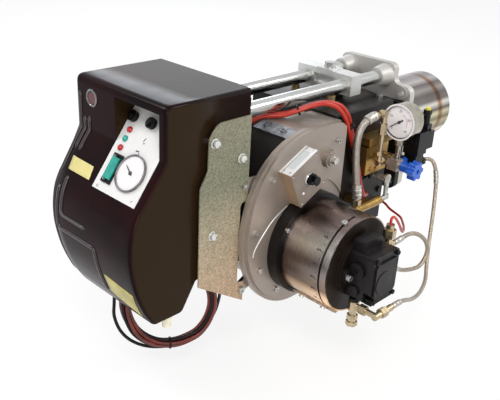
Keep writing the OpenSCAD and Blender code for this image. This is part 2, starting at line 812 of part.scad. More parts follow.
module nut(af, h) { cylinder(r = af / 2 / cos(30), h = h, $fn = 6); }
module nut_x(x, y, z, af, h) { translate([x, y, z]) rotate([0, 90, 0]) nut(af, h); }
module nut_y(x, y, z, af, h) { translate([x, y, z]) rotate([90, 0, 0]) nut(af, h); }
module nut_z(x, y, z, af, h) { translate([x, y, z]) nut(af, h); }

// Brass pipes, unions and elbows: valve line, gauge stem, jack elbow, pump
module brass_fittings() {
    py = pump_y0 - 14;
    bx = pump_x - 26;
    bz = pump_z - pump_h / 2 - 3;
    px = pump_x + pump_w / 2;
    sz = pump_z + 22;
    color([0.8, 0.68, 0.42]) {
        // valve line from the block to the shut-off valve
        rod_y(vx, vy0 - 10, vz, 6, 36, 32);
        nut_y(vx, vy0 - 20, vz, 17, 7);
        // riser with its elbow and the supply hose end
        rod_x(vx - 23, vy0 - 34.5, vz, 5, 23, 32);
        nut_x(vx - 13, vy0 - 34.5, vz, 13, 6);
        rod_z(vx - 18, vy0 - 34.5, vz - 5, 4.5, 95, 32);
        nut_z(vx - 18, vy0 - 34.5, vz + 14, 12, 8);
        nut_z(vx - 18, vy0 - 34.5, vz + 52, 12, 20);
        rod_x(vx - 42, vy0 - 34.5, vz + 90, 5, 28, 32);
        nut_x(vx - 36, vy0 - 34.5, vz + 90, 14, 10);
        // pipe from the block to the solenoid valve
        rod_y(vx + 18, vy0 - 10, vz + 4, 5, 38, 32);
        // jack elbow
        nut_z(jx + 6, jy, jz + jack_d / 2 + 3, 15, 10);
        // unions below the pump
        rod_z(bx, py, bz - 40, 6, 40, 32);
        nut_z(bx, py, bz - 18, 15, 17);
        nut_z(bx, py, bz - 34, 15, 9);
        nut_z(bx, py, bz - 44, 16, 7);
        rod_y(bx, py, bz - 9, 5, 45, 32);
        nut_y(bx, py - 12, bz - 9, 14, 12);
        rod_x(bx - 5, py - 42, bz - 9, 5.5, 44, 32);
        nut_x(bx + 10, py - 42, bz - 9, 14, 14);
        // unions on the pump's right side
        rod_x(px + 3, pump_y0 - 20, pump_z - 20, 4.5, 16, 32);
        nut_x(px + 5, pump_y0 - 20, pump_z - 20, 13, 9);
        rod_x(px + 3, pump_y0 - 12, sz, 4.5, 30, 32);
        nut_x(px + 5, pump_y0 - 12, sz, 14, 10);
        nut_x(px + 20, pump_y0 - 12, sz, 13, 8);
        rod_z(px + 18, pump_y0 - 12, sz - 2, 5, 34, 32);
        nut_z(px + 18, pump_y0 - 12, sz + 16, 18, 14);
        rod_z(px + 18, pump_y0 - 12, sz + 30, 6.5, 8, 32);
    }
}

gx = -128;          // dial side of the gauge
gy = vy0 - 58;
gz = 66;

module gauge_case() {
    r = gauge_d / 2;
    color("silver") difference() {
        union() {
            rod_x(gx + 6, gy, gz, r - 1, 24, 96);
            rod_x(gx, gy, gz, r, 8, 96);
            // stem down to the shut-off valve
            rod_z(gx + 12, gy, vz + 9, 5, gz - r - vz - 7, 32);
            nut_z(gx + 12, gy, gz - r - 12, 13, 11);
        }
        rod_x(gx - 1, gy, gz, r - 3, 4, 96);
    }
}

module gauge_needle() {
    color([0.1, 0.1, 0.1]) {
        rod_x(gx + 1.2, gy, gz, 3, 1.2, 24);
        translate([gx + 1.4, gy, gz]) rotate([-48, 0, 0])
            translate([0, -0.8, -8]) cube([0.7, 1.6, 30]);
        rod_x(gx + 1.2, gy, gz, 1, 1.75, 24);
    }
}

module manual_valve() {
    y0 = vy0 - 46;
    color("silver") difference() {
        union() {
            translate([vx - 9, y0 - 20, vz - 10]) cube([18, 20, 20]);
            rod_y(vx, y0 - 19, vz, 7, 6, 32);
            rod_y(vx, y0 + 3, vz, 7.5, 5, 32);
        }
        rod_y(vx, y0 + 4, vz, 6 + fit, 8, 32);
        rod_y(vx, y0 - 16, vz, 3 + fit, 10, 32);
        rod_z(vx + 2, gy, vz + 8.9, 5, 2, 32);
    }
}

// Handwheel with six lobes on a long hub
module blue_knob() {
    y0 = vy0 - 46 - 25 - gap;
    r = knob_d / 2;
    color("royalblue") {
        rod_y(vx, y0 + 8, vz, 3, 12, 32);
        difference() {
            union() {
                rod_y(vx, y0, vz, 9, 24, 48);
                rod_y(vx, y0 - 18, vz, r - 4, 14, 48);
                for (i = [0:5]) translate([vx, y0 - 18, vz])
                    rotate([0, 60 * i, 0]) translate([r - 4, 0, 0])
                        rotate([90, 0, 0]) cylinder(r = 4, h = 14, $fn = 32);
            }
            rod_y(vx, y0 - 28, vz, 4, 6, 32);
        }
    }
}

module bleed_knob() {
    color("royalblue") {
        rod_x(vx + 9 + gap, gy - 4, vz + 4, 4.4, 9, 32);
        rod_x(vx + 9 + gap + 8, gy - 4, vz + 4, 6.5, 4, 6);
    }
}

module solenoid_coil() {
    x = vx + 42;
    y = vy0 - 66;
    color([0.08, 0.08, 0.09]) {
        difference() {
            translate([x - 14, y - 15, vz + 14]) cube([28, 30, 42]);
            rod_z(x, y, vz + 13, 5 + fit, 60, 32);
        }
    }
    color([0.8, 0.68, 0.42]) difference() {
        union() {
            translate([x - 12, y - 12, vz - 14]) cube([24, 24, 27]);
            rod_z(x, y, vz + 12, 5, 48, 32);
            nut_z(x, y, vz + 56.2, 14, 5);
            // outlet to the pump hose
            rod_x(x + 10, y - 6, vz - 4, 6, 12, 32);
            nut_x(x + 14, y - 6, vz - 4, 14, 8);
        }
    }
    color([0.8, 0.68, 0.42]) {
        translate([vx + 18, vy0 - 54, vz - 6]) cube([x - 12 - vx - 18 + eps, 6, 14]);
    }
}

module coil_plug() {
    x = vx + 56 + gap;
    y = vy0 - 66;
    color([0.06, 0.06, 0.06]) {
        translate([x, y - 13, vz + 20]) cube([22, 26, 32]);
        translate([x + 4, y - 8, vz + 51]) cube([14, 16, 12]);
        rod_z(x + 11, y, vz + 62, 6, 22, 32);
        rod_z(x + 11, y, vz + 80, 7.5, 8, 6);
    }
    color("gold") rod_z(x + 11, y, vz + 88, 4.5, 4, 32);
}

// Jack and air flap

jx = -206;
jy = -139;
jz = -82;

module jack_cylinder() {
    r = jack_d / 2;
    color([0.75, 0.72, 0.45]) difference() {
        union() {
            rod_x(jx, jy, jz, r, 76, 48);
            rod_z(jx + 6, jy, jz, 6, r + 3, 32);
            translate([jx + 30, jy, jz - 5]) cube([22, vy0 - jy, 10]);
        }
        rod_x(jx + 40, jy, jz, 4 + fit, 40, 32);
    }
}

module jack_rod() {
    color("silver") {
        rod_x(jx + 50, jy, jz, 4, 44, 32);
        translate([jx + 88, jy - 2.4, jz - 5]) cube([14, 4.8, 10]);
    }
}

// Flap shaft with its lever outside and the flap plate inside the casing
module air_flap() {
    y0 = jy + 2.4 + gap;
    color([0.3, 0.3, 0.32]) {
        rod_y(-105, -44, -50, 5, -44 - y0 - 4, 32);
        xz(y0 + 4, 4) {
            translate([-105, -50]) circle(r = 9);
            hull() {
                translate([-105, -50]) circle(r = 6, $fn = 24);
                translate([-105, -50 - 31]) circle(r = 4, $fn = 24);
            }
        }
        translate([-106.5, -88, -82]) cube([3, 42, 64]);
    }
}

// Hood and its panel

// Places children on the sloping panel: x up the slope, z outwards
module on_slope() {
    translate([hood_front, 0, kink_z]) rotate([0, -slope_a, 0]) children();
}

// One slab of the hood: half of its width less dy, on side k
module hood_slab(k, dy, d, b) {
    h = hood_w / 2 - dy;
    xz(k > 0 ? h : 0, h) polygon(hood_shape(d, b));
}

// Rib on the front, z0 down to z1 at y
module rib(y, z0, z1) {
    n = 8;
    xz(y, 5) polygon(concat(
        [for (i = [0:n]) let (z = lerp(z0, z1, i / n)) [edge_x(z) - 1.6, z]],
        [for (i = [n:-1:0]) let (z = lerp(z0, z1, i / n)) [edge_x(z) + 3, z]]));
}

// Level rib on the front at z, from y0 to y1
module level_rib(z, y0, y1) {
    translate([edge_x(z) - 1.6, y1, z - 2.5]) cube([6, y0 - y1, 5]);
}

// Space of the recess in front of the panel
module niche(grow) {
    y0 = panel_y - panel_w / 2 - grow - 0.4;
    z1 = hood_up - 13 + grow;
    x1 = hood_front + (z1 - kink_z) * slope_dx / slope_dz + grow;
    xz(y0 + panel_w + 2 * grow + 0.8, panel_w + 2 * grow + 0.8)
        polygon([[hood_front - 60, kink_z + 5],
            [hood_front - 60, z1], [x1, z1],
            [hood_front + grow, kink_z]]);
}

module hood_shell() {
    w = hood_w;
    k = hood_round / 6;
    color([0.1, 0.1, 0.11]) difference() {
        union() {
            difference() {
                union() {
                    for (t = [[0, 6, 9], [1, 3.2, 6.5], [3, 1.2, 4], [6, 0, 2.4],
                        [10, 0, 1], [16, 0, 0]])
                        hood_slab(1, t[0] * k, t[1] * k, t[2]);
                    for (t = [[0, 6], [1, 3.2], [3, 1.2], [6, 0]])
                        hood_slab(-1, t[0] * k, t[1] * k, 0);
                }
                difference() {
                    union() {
                        xz(w / 2 - 20, w - 20 - hood_wall)
                            polygon(hood_shape(hood_wall, 0));
                        xz(w / 2 - hood_wall, 20)
                            polygon(hood_shape(hood_wall, 10));
                    }
                    niche(hood_wall);
                    on_slope() translate([-84, panel_y - panel_w / 2 - 4, -9])
                        cube([170, panel_w + 8, 9]);
                }
                // open back
                translate([hood_back - 12, -w / 2 + hood_wall, -108])
                    cube([20, w - 2 * hood_wall, hood_up + 104]);
            }
            // moulded ribs down the front
            rib(94, 142, -150);
            rib(84, 107, 36);
            rib(73, 109, 46);
            rib(78, 14, -50);
            level_rib(-52, 78, -14);
            rib(-14, -52, -130);
            rib(66, 30, -28);
            level_rib(-30, 66, 0);
        }
        niche(0);
        // seat of the panel plate
        on_slope() translate([-71, panel_y - panel_w / 2, -2.5])
            cube([154, panel_w, 20]);
        // window behind the panel plate, and the reset button's well
        on_slope() translate([-62, panel_y - panel_w / 2 + 5, -14])
            cube([118, panel_w - 10, 14]);
        rod_x(hood_front - 1, 62, 137, 12 + gap, 12, 48);
        // side step at the rear
        for (s = [-1, 1]) translate([-552, s * (w / 2 + 5) - 6.5, -160])
            cube([26, 13, 268]);
        // holes of the bracket bolts
        for (p = stud_pts) rod_y(p[0], w / 2 + 10, p[1], 3 + fit, w + 20, 24);
    }
}

module control_panel() {
    color("whitesmoke") on_slope() difference() {
        union() {
            translate([-70.5, panel_y - panel_w / 2 + gap, -2.3])
                cube([152, panel_w - 2 * gap, 2.2]);
            translate([-58, -24, -1]) cube([44, 20, 3.4]);
        }
        // dial, rocker, lamps and caps sit in these
        translate([-36, -4, -1.2]) rotate([90, 0, 0])
            cylinder(r = 0.8 + fit, h = 20, $fn = 24);
        translate([-31, -52, -4]) cylinder(r = dial_d / 2 - 3 + gap, h = 6);
        translate([-55, -22, -4]) cube([38, 16, 8]);
        for (u = [23, 9, -5]) translate([u, -8, -4]) cylinder(r = 3.6, h = 6);
        for (y = [-4, -44]) translate([42, y, -4]) cylinder(r = 6, h = 6);
    }
}

module dial_case() {
    color("white") on_slope() translate([-31, -52, 0]) difference() {
        union() {
            cylinder(r = dial_d / 2, h = 4);
            translate([0, 0, -6]) cylinder(r = dial_d / 2 - 3, h = 7);
        }
        translate([0, 0, 1.8]) cylinder(r = dial_d / 2 - 2, h = 4);
    }
}

module dial_needle() {
    color([0.15, 0.15, 0.15]) on_slope() translate([-31, -52, 1.8 + 0.1]) {
        cylinder(r = 3, h = 1.4);
        rotate([0, 0, 50]) translate([-0.5, -4, 0.2]) cube([1, 22, 0.6]);
    }
}

module rocker_switch() {
    color("teal") on_slope() translate([-36, -14, -1.5]) {
        rotate([0, 90, 90]) translate([0, 0, -7.6]) difference() {
            cylinder(r = 17, h = 15.2, $fn = 64);
            translate([-40, -40, -1]) cube([34, 80, 18]);
            translate([-13, -40, -1]) cube([7, 80, 18]);
        }
        translate([0, 9.4, 0.3]) rotate([90, 0, 0])
            cylinder(r = 0.8, h = 18.8, $fn = 24);
    }
}

module lamp_lenses() {
    color("red") on_slope() for (u = [23, 9, -5]) translate([u, -8, 0.3]) {
        cylinder(r = 4.6, h = 1.4);
        translate([0, 0, -3]) cylinder(r = 3.4, h = 3.2);
        intersection() {
            translate([0, 0, -1]) sphere(r = 5.2);
            translate([0, 0, 1.2]) cylinder(r = 4.2, h = 6);
        }
    }
}

module fuse_caps() {
    color([0.05, 0.05, 0.05]) on_slope() for (y = [-4, -44])
        translate([42, y, 0.2]) difference() {
            union() {
                cylinder(r = 8.2, h = 7);
                translate([0, 0, -4]) cylinder(r = 5.6, h = 5);
            }
            translate([-6, -0.8, 5.6]) cube([12, 1.6, 3]);
        }
}

module reset_button() {
    color("firebrick") {
        rod_x(hood_front + 2, 62, 137, 12, 7, 48);
        rod_x(hood_front - 1, 62, 137, 9, 4, 48);
    }
}

// Gland of the mains cable under the hood
module cable_gland() {
    color("beige") difference() {
        union() {
            nut_z(-575, -90, hood_low - 8, 17, 8);
            rod_z(-575, -90, hood_low - 19, 6.5, 12, 48);
        }
        rod_z(-575, -90, hood_low - 20, 3.5, 14, 48);
    }
}

// Brackets and sheet metal

bracket_pts = [[-438, 129], [-496, 129], [-504, 126], [-513, 117],
    [-518, 108], [-519, 63], [-533, 39], [-532, -118], [-438, -178],
    [-438, -143], [-450, -141], [-452, -136], [-452, -10], [-449, -5],
    [-438, -4]];

module side_brackets() {
    color("lightgray") for (s = [-1, 1]) difference() {
        xz(s > 0 ? plate_y + plate_t : -plate_y, plate_t) polygon(bracket_pts);
        for (p = stud_pts)
            rod_y(p[0], s * plate_y + 5, p[1], 3 + fit, 10, 24);
        rod_y(-447, s * plate_y + 5, 22, 3 + fit, 10, 24);
        rod_y(-444, s * plate_y + 5, -156, 3 + fit, 10, 24);
    }
}

module bracket_studs() {
    reach = plate_y - hood_w / 2;
    color("silver") for (s = [-1, 1]) {
        for (p = stud_pts)
            translate([p[0], s * (plate_y + plate_t), p[1]])
                rotate([-90 * s, 0, 0]) {
                    cap_screw(5.5, 5, 3, plate_t + reach + hood_wall + 2);
                    translate([0, 0, -plate_t - reach]) difference() {
                        cylinder(r = 6, h = reach);
                        translate([0, 0, -1]) cylinder(r = 3 + fit, h = reach + 2);
                    }
                }
    }
    color("silver") for (p = [[-447, 22], [-444, -156]])
        translate([p[0], -plate_y - plate_t, p[1]])
            rotate([90, 0, 0]) cap_screw(5.5, 5, 3, plate_t + lug_t);
}

module top_strip() {
    p = [for (a = [168, 174])
        let (r = smooth(scroll_list, a) - inset(a, scroll_inset))
        [fan_x - r * sin(a), fan_z - r * cos(a)]];
    tilt = atan2(p[1][1] - p[0][1], p[1][0] - p[0][0]);
    color("lightsteelblue")
        translate([(p[0][0] + p[1][0]) / 2, 0, (p[0][1] + p[1][1]) / 2])
        rotate([0, -tilt, 0]) translate([0, 0, 0.2]) {
            difference() {
                translate([-15, scroll_y1 + 1, 0]) cube([27, 70, 2]);
                for (y = [-92, -56]) rod_z(-1, y, -1, 3 + fit, 4, 24);
            }
            for (y = [-92, -56]) translate([-1, y, 2]) cap_screw(5, 3.5, 3, 1.8);
        }
}

// Black sheet panels behind the hood, joined along their fold
module inner_panel() {
    color([0.15, 0.15, 0.16]) difference() {
        union() {
            translate([hood_back + gap, 1 - hood_w / 2, -20])
                cube([2, hood_w - 2, 170]);
            translate([hood_back + gap, scroll_y0 + 4, -108])
                cube([2, hood_w / 2 - scroll_y0 - 5, 90]);
            translate([hood_back + gap, scroll_y0 + 1, -24])
                cube([100, 2, 102]);
        }
        for (s = [-1, 1]) rod_x(hood_back - 1, s * rail_y, rail_z, 15, 6);
    }
}

// Inside the head

module nozzle_line() {
    color([0.75, 0.65, 0.45]) {
        rod_x(case_x0 - 14, 0, 0, 9, tube_len - 50 - case_x0 + 14, 48);
        nut_x(case_x0 - 14, 0, 0, 22, 8);
        for (s = [-1, 1]) {
            rod_x(tube_len - 51, s * 12, 0, 5, 18, 32);
            nut_x(tube_len - 44, s * 12, 0, 13, 8);
        }
        translate([tube_len - 62, -20, -9]) cube([14, 40, 18]);
    }
}

module diffuser_disc() {
    x = tube_len - 34;
    r = tube_r - tube_wall - 8;
    color("silver") difference() {
        union() {
            rod_x(x, 0, 0, r, 3, 96);
            rod_x(x - 20, 0, 0, 30, 22);
        }
        rod_x(x - 21, 0, 0, 22, 30);
        for (i = [0:11]) translate([x + 1.5, 0, 0]) rotate([30 * i, 0, 0])
            translate([0, 0, 42]) rotate([0, 0, 35])
                cube([8, 3, 20], center = true);
        for (i = [0:3]) rod_x(x - 21, 25.5 * cos(90 * i + 45),
            25.5 * sin(90 * i + 45), 1.8, 30, 24);
    }
    color("silver") for (s = [-1, 1])
        translate([x - 18, -1.5, s > 0 ? 9 : -23]) cube([12, 3, 14]);
}

// Hoses and leads, routes in the part's frame

supply_route = [[-160, -131.5, 78], [-170, -131.5, 78], [-182, -131.5, 76],
    [-194, -131.5, 70], [-202, -131, 60], [-206, -131, 46],
    [-206.5, -131, 32], [-206, -132, 16], [-205, -133, 0],
    [-203.5, -134.5, -18], [-202, -136.5, -34], [-200.5, -138.5, -46],
    [-200, -139, -54], [-200, -139, -61]];
pump_route = [[-54, -169, -16], [-46, -169, -16], [-37, -172, -17],
    [-30, -177, -22],
    [-26, -182, -35], [-25, -186, -52], [-27, -190, -75], [-32, -195, -105],
    [-42, -202, -140], [-57, -211, -170], [-78, -225, -198],
    [-104, -241, -212], [-142, -256, -212], [-178, -267, -204],
    [-212, -277, -190], [-244, -287, -173], [-270, -295, -160],
    [-290, -298, -155], [-305, -298, -155]];
loop_route = [[-267, -262, -122], [-257, -262, -122], [-241, -260, -128],
    [-222, -256, -139], [-200, -253, -149], [-178, -252, -156],
    [-156, -252, -159], [-141, -252, -151], [-136, -252, -135],
    [-144, -252, -118], [-160, -252, -102], [-182, -252, -88],
    [-204, -252, -81], [-224, -253, -80], [-240, -254, -80],
    [-253, -254, -80]];
red_route_a = [[-434, -24, 50], [-420, -24, 50], [-402, -24, 53],
    [-384, -24, 60], [-366, -25, 70], [-350, -28, 79], [-337, -35, 85.5],
    [-325, -48, 88], [-313, -62, 91], [-299, -77, 99], [-282, -90, 107],
    [-262, -101, 110], [-240, -109, 101], [-224, -114, 83], [-212, -116, 60],
    [-201, -117, 36], [-188, -118, 10], [-176, -118, -16],
    [-166, -118, -42], [-156, -117, -62], [-143, -114, -77],
    [-129, -110, -82], [-127, -103, -82], [-127, -97, -82]];
red_route_b = [[-434, -14, 52], [-420, -14, 52], [-402, -14, 55],
    [-384, -14, 62], [-364, -16, 72], [-344, -20, 82], [-327, -30, 87],
    [-313, -45, 88.5], [-300, -60, 92], [-286, -75, 101], [-269, -88, 108],
    [-248, -99, 109], [-226, -107, 100], [-210, -110, 82], [-199, -110, 60],
    [-188, -110, 36], [-177, -109.5, 10], [-167, -109, -16],
    [-159, -109, -40], [-152, -108, -58], [-145, -105, -69],
    [-142, -101, -72], [-142, -97, -72]];
black_route = [[-434, -4, 50], [-420, -4, 50], [-402, -4, 53],
    [-382, -5, 60], [-360, -7, 71], [-338, -12, 82], [-320, -22, 87.5],
    [-305, -37, 88.5], [-291, -52, 91.5], [-277, -67, 99],
    [-260, -80, 106], [-240, -90, 107], [-221, -98, 98],
    [-207, -101.5, 80], [-198, -102, 60], [-188, -102.2, 36],
    [-177, -102, 10], [-169, -102, -12], [-163, -102, -27],
    [-156, -102, -41], [-146, -104, -48], [-136, -106, -51],
    [-126, -104, -51], [-124, -100, -51], [-124, -97, -51]];
sensor_route = [[-66, -97, -118], [-67, -106, -116], [-72, -118, -116],
    [-79, -132, -118], [-85, -150, -119], [-94, -166, -118],
    [-112, -182, -115], [-136, -200, -110], [-164, -217, -102],
    [-194, -232, -88], [-222, -244, -66], [-244, -251, -46],
    [-261, -254, -32], [-268, -254, -33], [-268, -254, -42]];
loom_route = [[-594, -14, -156], [-594, -14, -172], [-590, -16, -192],
    [-581, -20, -216], [-569, -27, -232], [-555, -36, -242],
    [-540, -46, -246], [-524, -55, -246], [-507, -61, -243],
    [-492, -66, -237], [-480, -70, -224], [-473, -73, -208],
    [-470, -75, -190], [-472, -76, -170], [-478, -76, -150],
    [-484, -76, -132], [-486, -76, -112]];
loom_black_route = [[-600, 4, -156], [-601, 4, -172], [-603, 2, -192],
    [-598, -4, -216], [-586, -12, -236], [-567, -22, -251],
    [-546, -33, -258], [-524, -44, -259], [-504, -53, -255],
    [-485, -60, -246], [-469, -66, -230], [-460, -71, -210],
    [-458, -76, -190], [-463, -84, -168], [-474, -90, -148],
    [-486, -93, -130], [-490, -93, -112]];

module supply_hose() { color("gainsboro") sweep(supply_route, 6.5); }
module pump_hose() { color("gainsboro") sweep(pump_route, 3.6); }
module loop_hose() { color("gainsboro") sweep(loop_route, 3.6); }
module red_lead_a() { color("red") sweep(red_route_a, 3.6, 8); }
module red_lead_b() { color("red") sweep(red_route_b, 3.6, 8); }
module black_lead() { color([0.1, 0.1, 0.1]) sweep(black_route, 2.4, 8); }
module sensor_lead() { color("red") sweep(sensor_route, 2.2, 8); }
module loom_red() { color("firebrick") sweep(loom_route, 8.5); }
module loom_black() { color([0.1, 0.1, 0.1]) sweep(loom_black_route, 2.6, 8); }

mounting_flange();
flange_gasket();
blast_tube();
guide_rails();
rail_bridge();
slide_pillars();
head_casing();
casing_screws();
fan_housing();
fan_cover();
cover_screws();
fan_wheel();
motor_body();
drive_shaft();
drum_collar();
drum_screws();
air_drum();
drum_strip();
cable_gland();
drum_disc();
pump_body();
pump_cover();
pump_screws();
switch_box();
box_knob();
valve_block();
brass_fittings();
gauge_case();
gauge_needle();
manual_valve();
blue_knob();
bleed_knob();
solenoid_coil();
coil_plug();
jack_cylinder();
jack_rod();
air_flap();
hood_shell();
control_panel();
dial_case();
dial_needle();
rocker_switch();
lamp_lenses();
fuse_caps();
reset_button();
side_brackets();
bracket_studs();
top_strip();
inner_panel();
diffuser_disc();
nozzle_line();
supply_hose();
pump_hose();
loop_hose();
red_lead_a();
red_lead_b();
black_lead();
sensor_lead();
loom_red();
loom_black();
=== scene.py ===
"""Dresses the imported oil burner: its cords, hood, finishes, scales and stage.

Everything is in metres in the part's own frame: +X runs along the blast tube, +Z is up,
and the air drum and the pump are on the -Y side.
"""

import json
import math

import bmesh
import bpy
import numpy as np
from mathutils import Matrix, Vector


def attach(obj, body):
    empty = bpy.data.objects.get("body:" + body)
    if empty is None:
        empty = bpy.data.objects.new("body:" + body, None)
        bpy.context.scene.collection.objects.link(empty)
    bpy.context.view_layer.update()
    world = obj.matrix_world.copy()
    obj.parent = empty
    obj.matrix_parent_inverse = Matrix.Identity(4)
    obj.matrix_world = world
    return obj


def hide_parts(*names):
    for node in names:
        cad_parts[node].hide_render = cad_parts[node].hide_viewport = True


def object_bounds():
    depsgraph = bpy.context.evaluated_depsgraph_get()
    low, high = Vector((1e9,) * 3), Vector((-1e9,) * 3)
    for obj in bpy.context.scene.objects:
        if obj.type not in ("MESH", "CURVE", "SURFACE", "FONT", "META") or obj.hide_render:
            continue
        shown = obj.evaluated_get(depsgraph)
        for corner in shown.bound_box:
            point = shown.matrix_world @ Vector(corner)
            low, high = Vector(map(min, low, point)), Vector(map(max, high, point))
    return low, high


bl_info = {
    "name": "Oil burner dressing",
    "version": (1, 0, 0),
    "blender": (4, 5, 0),
    "location": "3D View > Sidebar > Oil burner",
    "description": "Builds the cords, hood, finishes and scales of the oil burner",
    "category": "Object",
}

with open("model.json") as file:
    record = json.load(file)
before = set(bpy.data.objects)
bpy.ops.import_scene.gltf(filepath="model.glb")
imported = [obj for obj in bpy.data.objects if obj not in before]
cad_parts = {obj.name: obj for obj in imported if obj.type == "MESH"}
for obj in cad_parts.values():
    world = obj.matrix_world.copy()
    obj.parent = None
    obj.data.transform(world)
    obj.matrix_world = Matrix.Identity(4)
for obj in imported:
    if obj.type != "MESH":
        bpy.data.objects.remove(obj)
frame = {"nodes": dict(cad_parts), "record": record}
CAD_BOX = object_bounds()
BODIES = {n: b for b, ns in frame["record"]["behaviour"]["bodies"].items() for n in ns}

# Places, measures and directions that go with the part's source
FAN_AXIS = np.array([-0.318, 0.0, -0.102])
DRUM_R = 0.078
DRUM_END = -0.236
TUBE_R = 0.069
HOOD_FRONT = -0.587
HOOD_BACK = -0.434
HOOD_TOP = 0.165
HOOD_HALF = 0.102
HOOD_FOOT = -0.156
KINK_Z = 0.088
SWEEP_Y, SWEEP_WIDTH, SWEEP_DEPTH = 0.062, 0.040, 0.021
SLOPE = math.atan2(62, 46)
SLOPE_UP = np.array([math.cos(SLOPE), 0.0, math.sin(SLOPE)])
SLOPE_OUT = np.array([-math.sin(SLOPE), 0.0, math.cos(SLOPE)])
SLOPE_FOOT = np.array([HOOD_FRONT, 0.0, KINK_Z])
BOX = np.array([-0.3465, -0.126, 0.019])
BOX_TURN = math.radians(26)
BOX_ALONG = np.array([math.cos(BOX_TURN), 0.0, math.sin(BOX_TURN)])
BOX_UP = np.array([-math.sin(BOX_TURN), 0.0, math.cos(BOX_TURN)])
BOX_TOP = 0.03425
KNOB = np.array([-0.3465, -0.1502, 0.019])
GAUGE = np.array([-0.128, -0.155, 0.066])
FAR = np.array([0, 1.0, 0])
DIAL_DROP, DIAL_Y = 0.031, -0.052
DIAL = SLOPE_FOOT - DIAL_DROP * SLOPE_UP + DIAL_Y * FAR
BUTTON_Y, BUTTON_Z = 0.062, 0.137
PANEL_LOW, PANEL_HIGH = -0.088, 0.008
PANEL_LENGTH, PANEL_SINK = 0.071, 0.0025

# Measures of the hood that only the dressing needs: the rounding of its sides' edges, its wall,
# the band above the panel's recess, and the heights over which the front takes up its sweep
HOOD_EDGE, HOOD_WALL = 0.0055, 0.004
TOP_BAND = 0.013
SWEEP_BLEND = 0.06

# Angle in degrees over which an edge stays sharp, and the radius under which an end is closed
SHARP = 33
POLE = 0.0002

# Routes of the hoses and leads, in millimetres, as in the part's source
ROUTES = {
    "supply_hose": [(-160, -131.5, 78), (-170, -131.5, 78), (-182, -131.5, 76), (-194, -131.5, 70),
        (-202, -131, 60), (-206, -131, 46), (-206.5, -131, 32), (-206, -132, 16), (-205, -133, 0),
        (-203.5, -134.5, -18), (-202, -136.5, -34), (-200.5, -138.5, -46), (-200, -139, -54),
        (-200, -139, -61)],
    "pump_hose": [(-54, -169, -16), (-46, -169, -16), (-37, -172, -17), (-30, -177, -22),
        (-26, -182, -35), (-25, -186, -52), (-27, -190, -75), (-32, -195, -105), (-42, -202, -140),
        (-57, -211, -170), (-78, -225, -198), (-104, -241, -212), (-142, -256, -212),
        (-178, -267, -204), (-212, -277, -190), (-244, -287, -173), (-270, -295, -160),
        (-290, -298, -155), (-305, -298, -155)],
    "loop_hose": [(-267, -262, -122), (-257, -262, -122), (-241, -260, -128), (-222, -256, -139),
        (-200, -253, -149), (-178, -252, -156), (-156, -252, -159), (-141, -252, -151),
        (-136, -252, -135), (-144, -252, -118), (-160, -252, -102), (-182, -252, -88),
        (-204, -252, -81), (-224, -253, -80), (-240, -254, -80), (-253, -254, -80)],
    "red_lead_a": [(-434, -24, 50), (-420, -24, 50), (-402, -24, 53), (-384, -24, 60),
        (-366, -25, 70), (-350, -28, 79), (-337, -35, 85.5), (-325, -48, 88), (-313, -62, 91),
        (-299, -77, 99), (-282, -90, 107), (-262, -101, 110), (-240, -109, 101), (-224, -114, 83),
        (-212, -116, 60), (-201, -117, 36), (-188, -118, 10), (-176, -118, -16),
        (-166, -118, -42), (-156, -117, -62), (-143, -114, -77), (-129, -110, -82),
        (-127, -103, -82), (-127, -97, -82)],
    "red_lead_b": [(-434, -14, 52), (-420, -14, 52), (-402, -14, 55), (-384, -14, 62),
        (-364, -16, 72), (-344, -20, 82), (-327, -30, 87), (-313, -45, 88.5), (-300, -60, 92),
        (-286, -75, 101), (-269, -88, 108), (-248, -99, 109), (-226, -107, 100), (-210, -110, 82),
        (-199, -110, 60), (-188, -110, 36), (-177, -109.5, 10), (-167, -109, -16),
        (-159, -109, -40), (-152, -108, -58), (-145, -105, -69), (-142, -101, -72),
        (-142, -97, -72)],
    "black_lead": [(-434, -4, 50), (-420, -4, 50), (-402, -4, 53), (-382, -5, 60), (-360, -7, 71),
        (-338, -12, 82), (-320, -22, 87.5), (-305, -37, 88.5), (-291, -52, 91.5), (-277, -67, 99),
        (-260, -80, 106), (-240, -90, 107), (-221, -98, 98), (-207, -101.5, 80), (-198, -102, 60),
        (-188, -102.2, 36), (-177, -102, 10), (-169, -102, -12), (-163, -102, -27),
        (-156, -102, -41), (-146, -104, -48), (-136, -106, -51), (-126, -104, -51),
        (-124, -100, -51), (-124, -97, -51)],
    "sensor_lead": [(-66, -97, -118), (-67, -106, -116), (-72, -118, -116), (-79, -132, -118),
        (-85, -150, -119), (-94, -166, -118), (-112, -182, -115), (-136, -200, -110),
        (-164, -217, -102), (-194, -232, -88), (-222, -244, -66), (-244, -251, -46),
        (-261, -254, -32), (-268, -254, -33), (-268, -254, -42)],
    "loom_red": [(-594, -14, -156), (-594, -14, -172), (-590, -16, -192), (-581, -20, -216),
        (-569, -27, -232), (-555, -36, -242), (-540, -46, -246), (-524, -55, -246),
        (-507, -61, -243), (-492, -66, -237), (-480, -70, -224), (-473, -73, -208),
        (-470, -75, -190), (-472, -76, -170), (-478, -76, -150), (-484, -76, -132),
        (-486, -76, -112)],
    "loom_black": [(-600, 4, -156), (-601, 4, -172), (-603, 2, -192), (-598, -4, -216),
        (-586, -12, -236), (-567, -22, -251), (-546, -33, -258), (-524, -44, -259),
        (-504, -53, -255), (-485, -60, -246), (-469, -66, -230), (-460, -71, -210),
        (-458, -76, -190), (-463, -84, -168), (-474, -90, -148), (-486, -93, -130),
        (-490, -93, -112)],
}

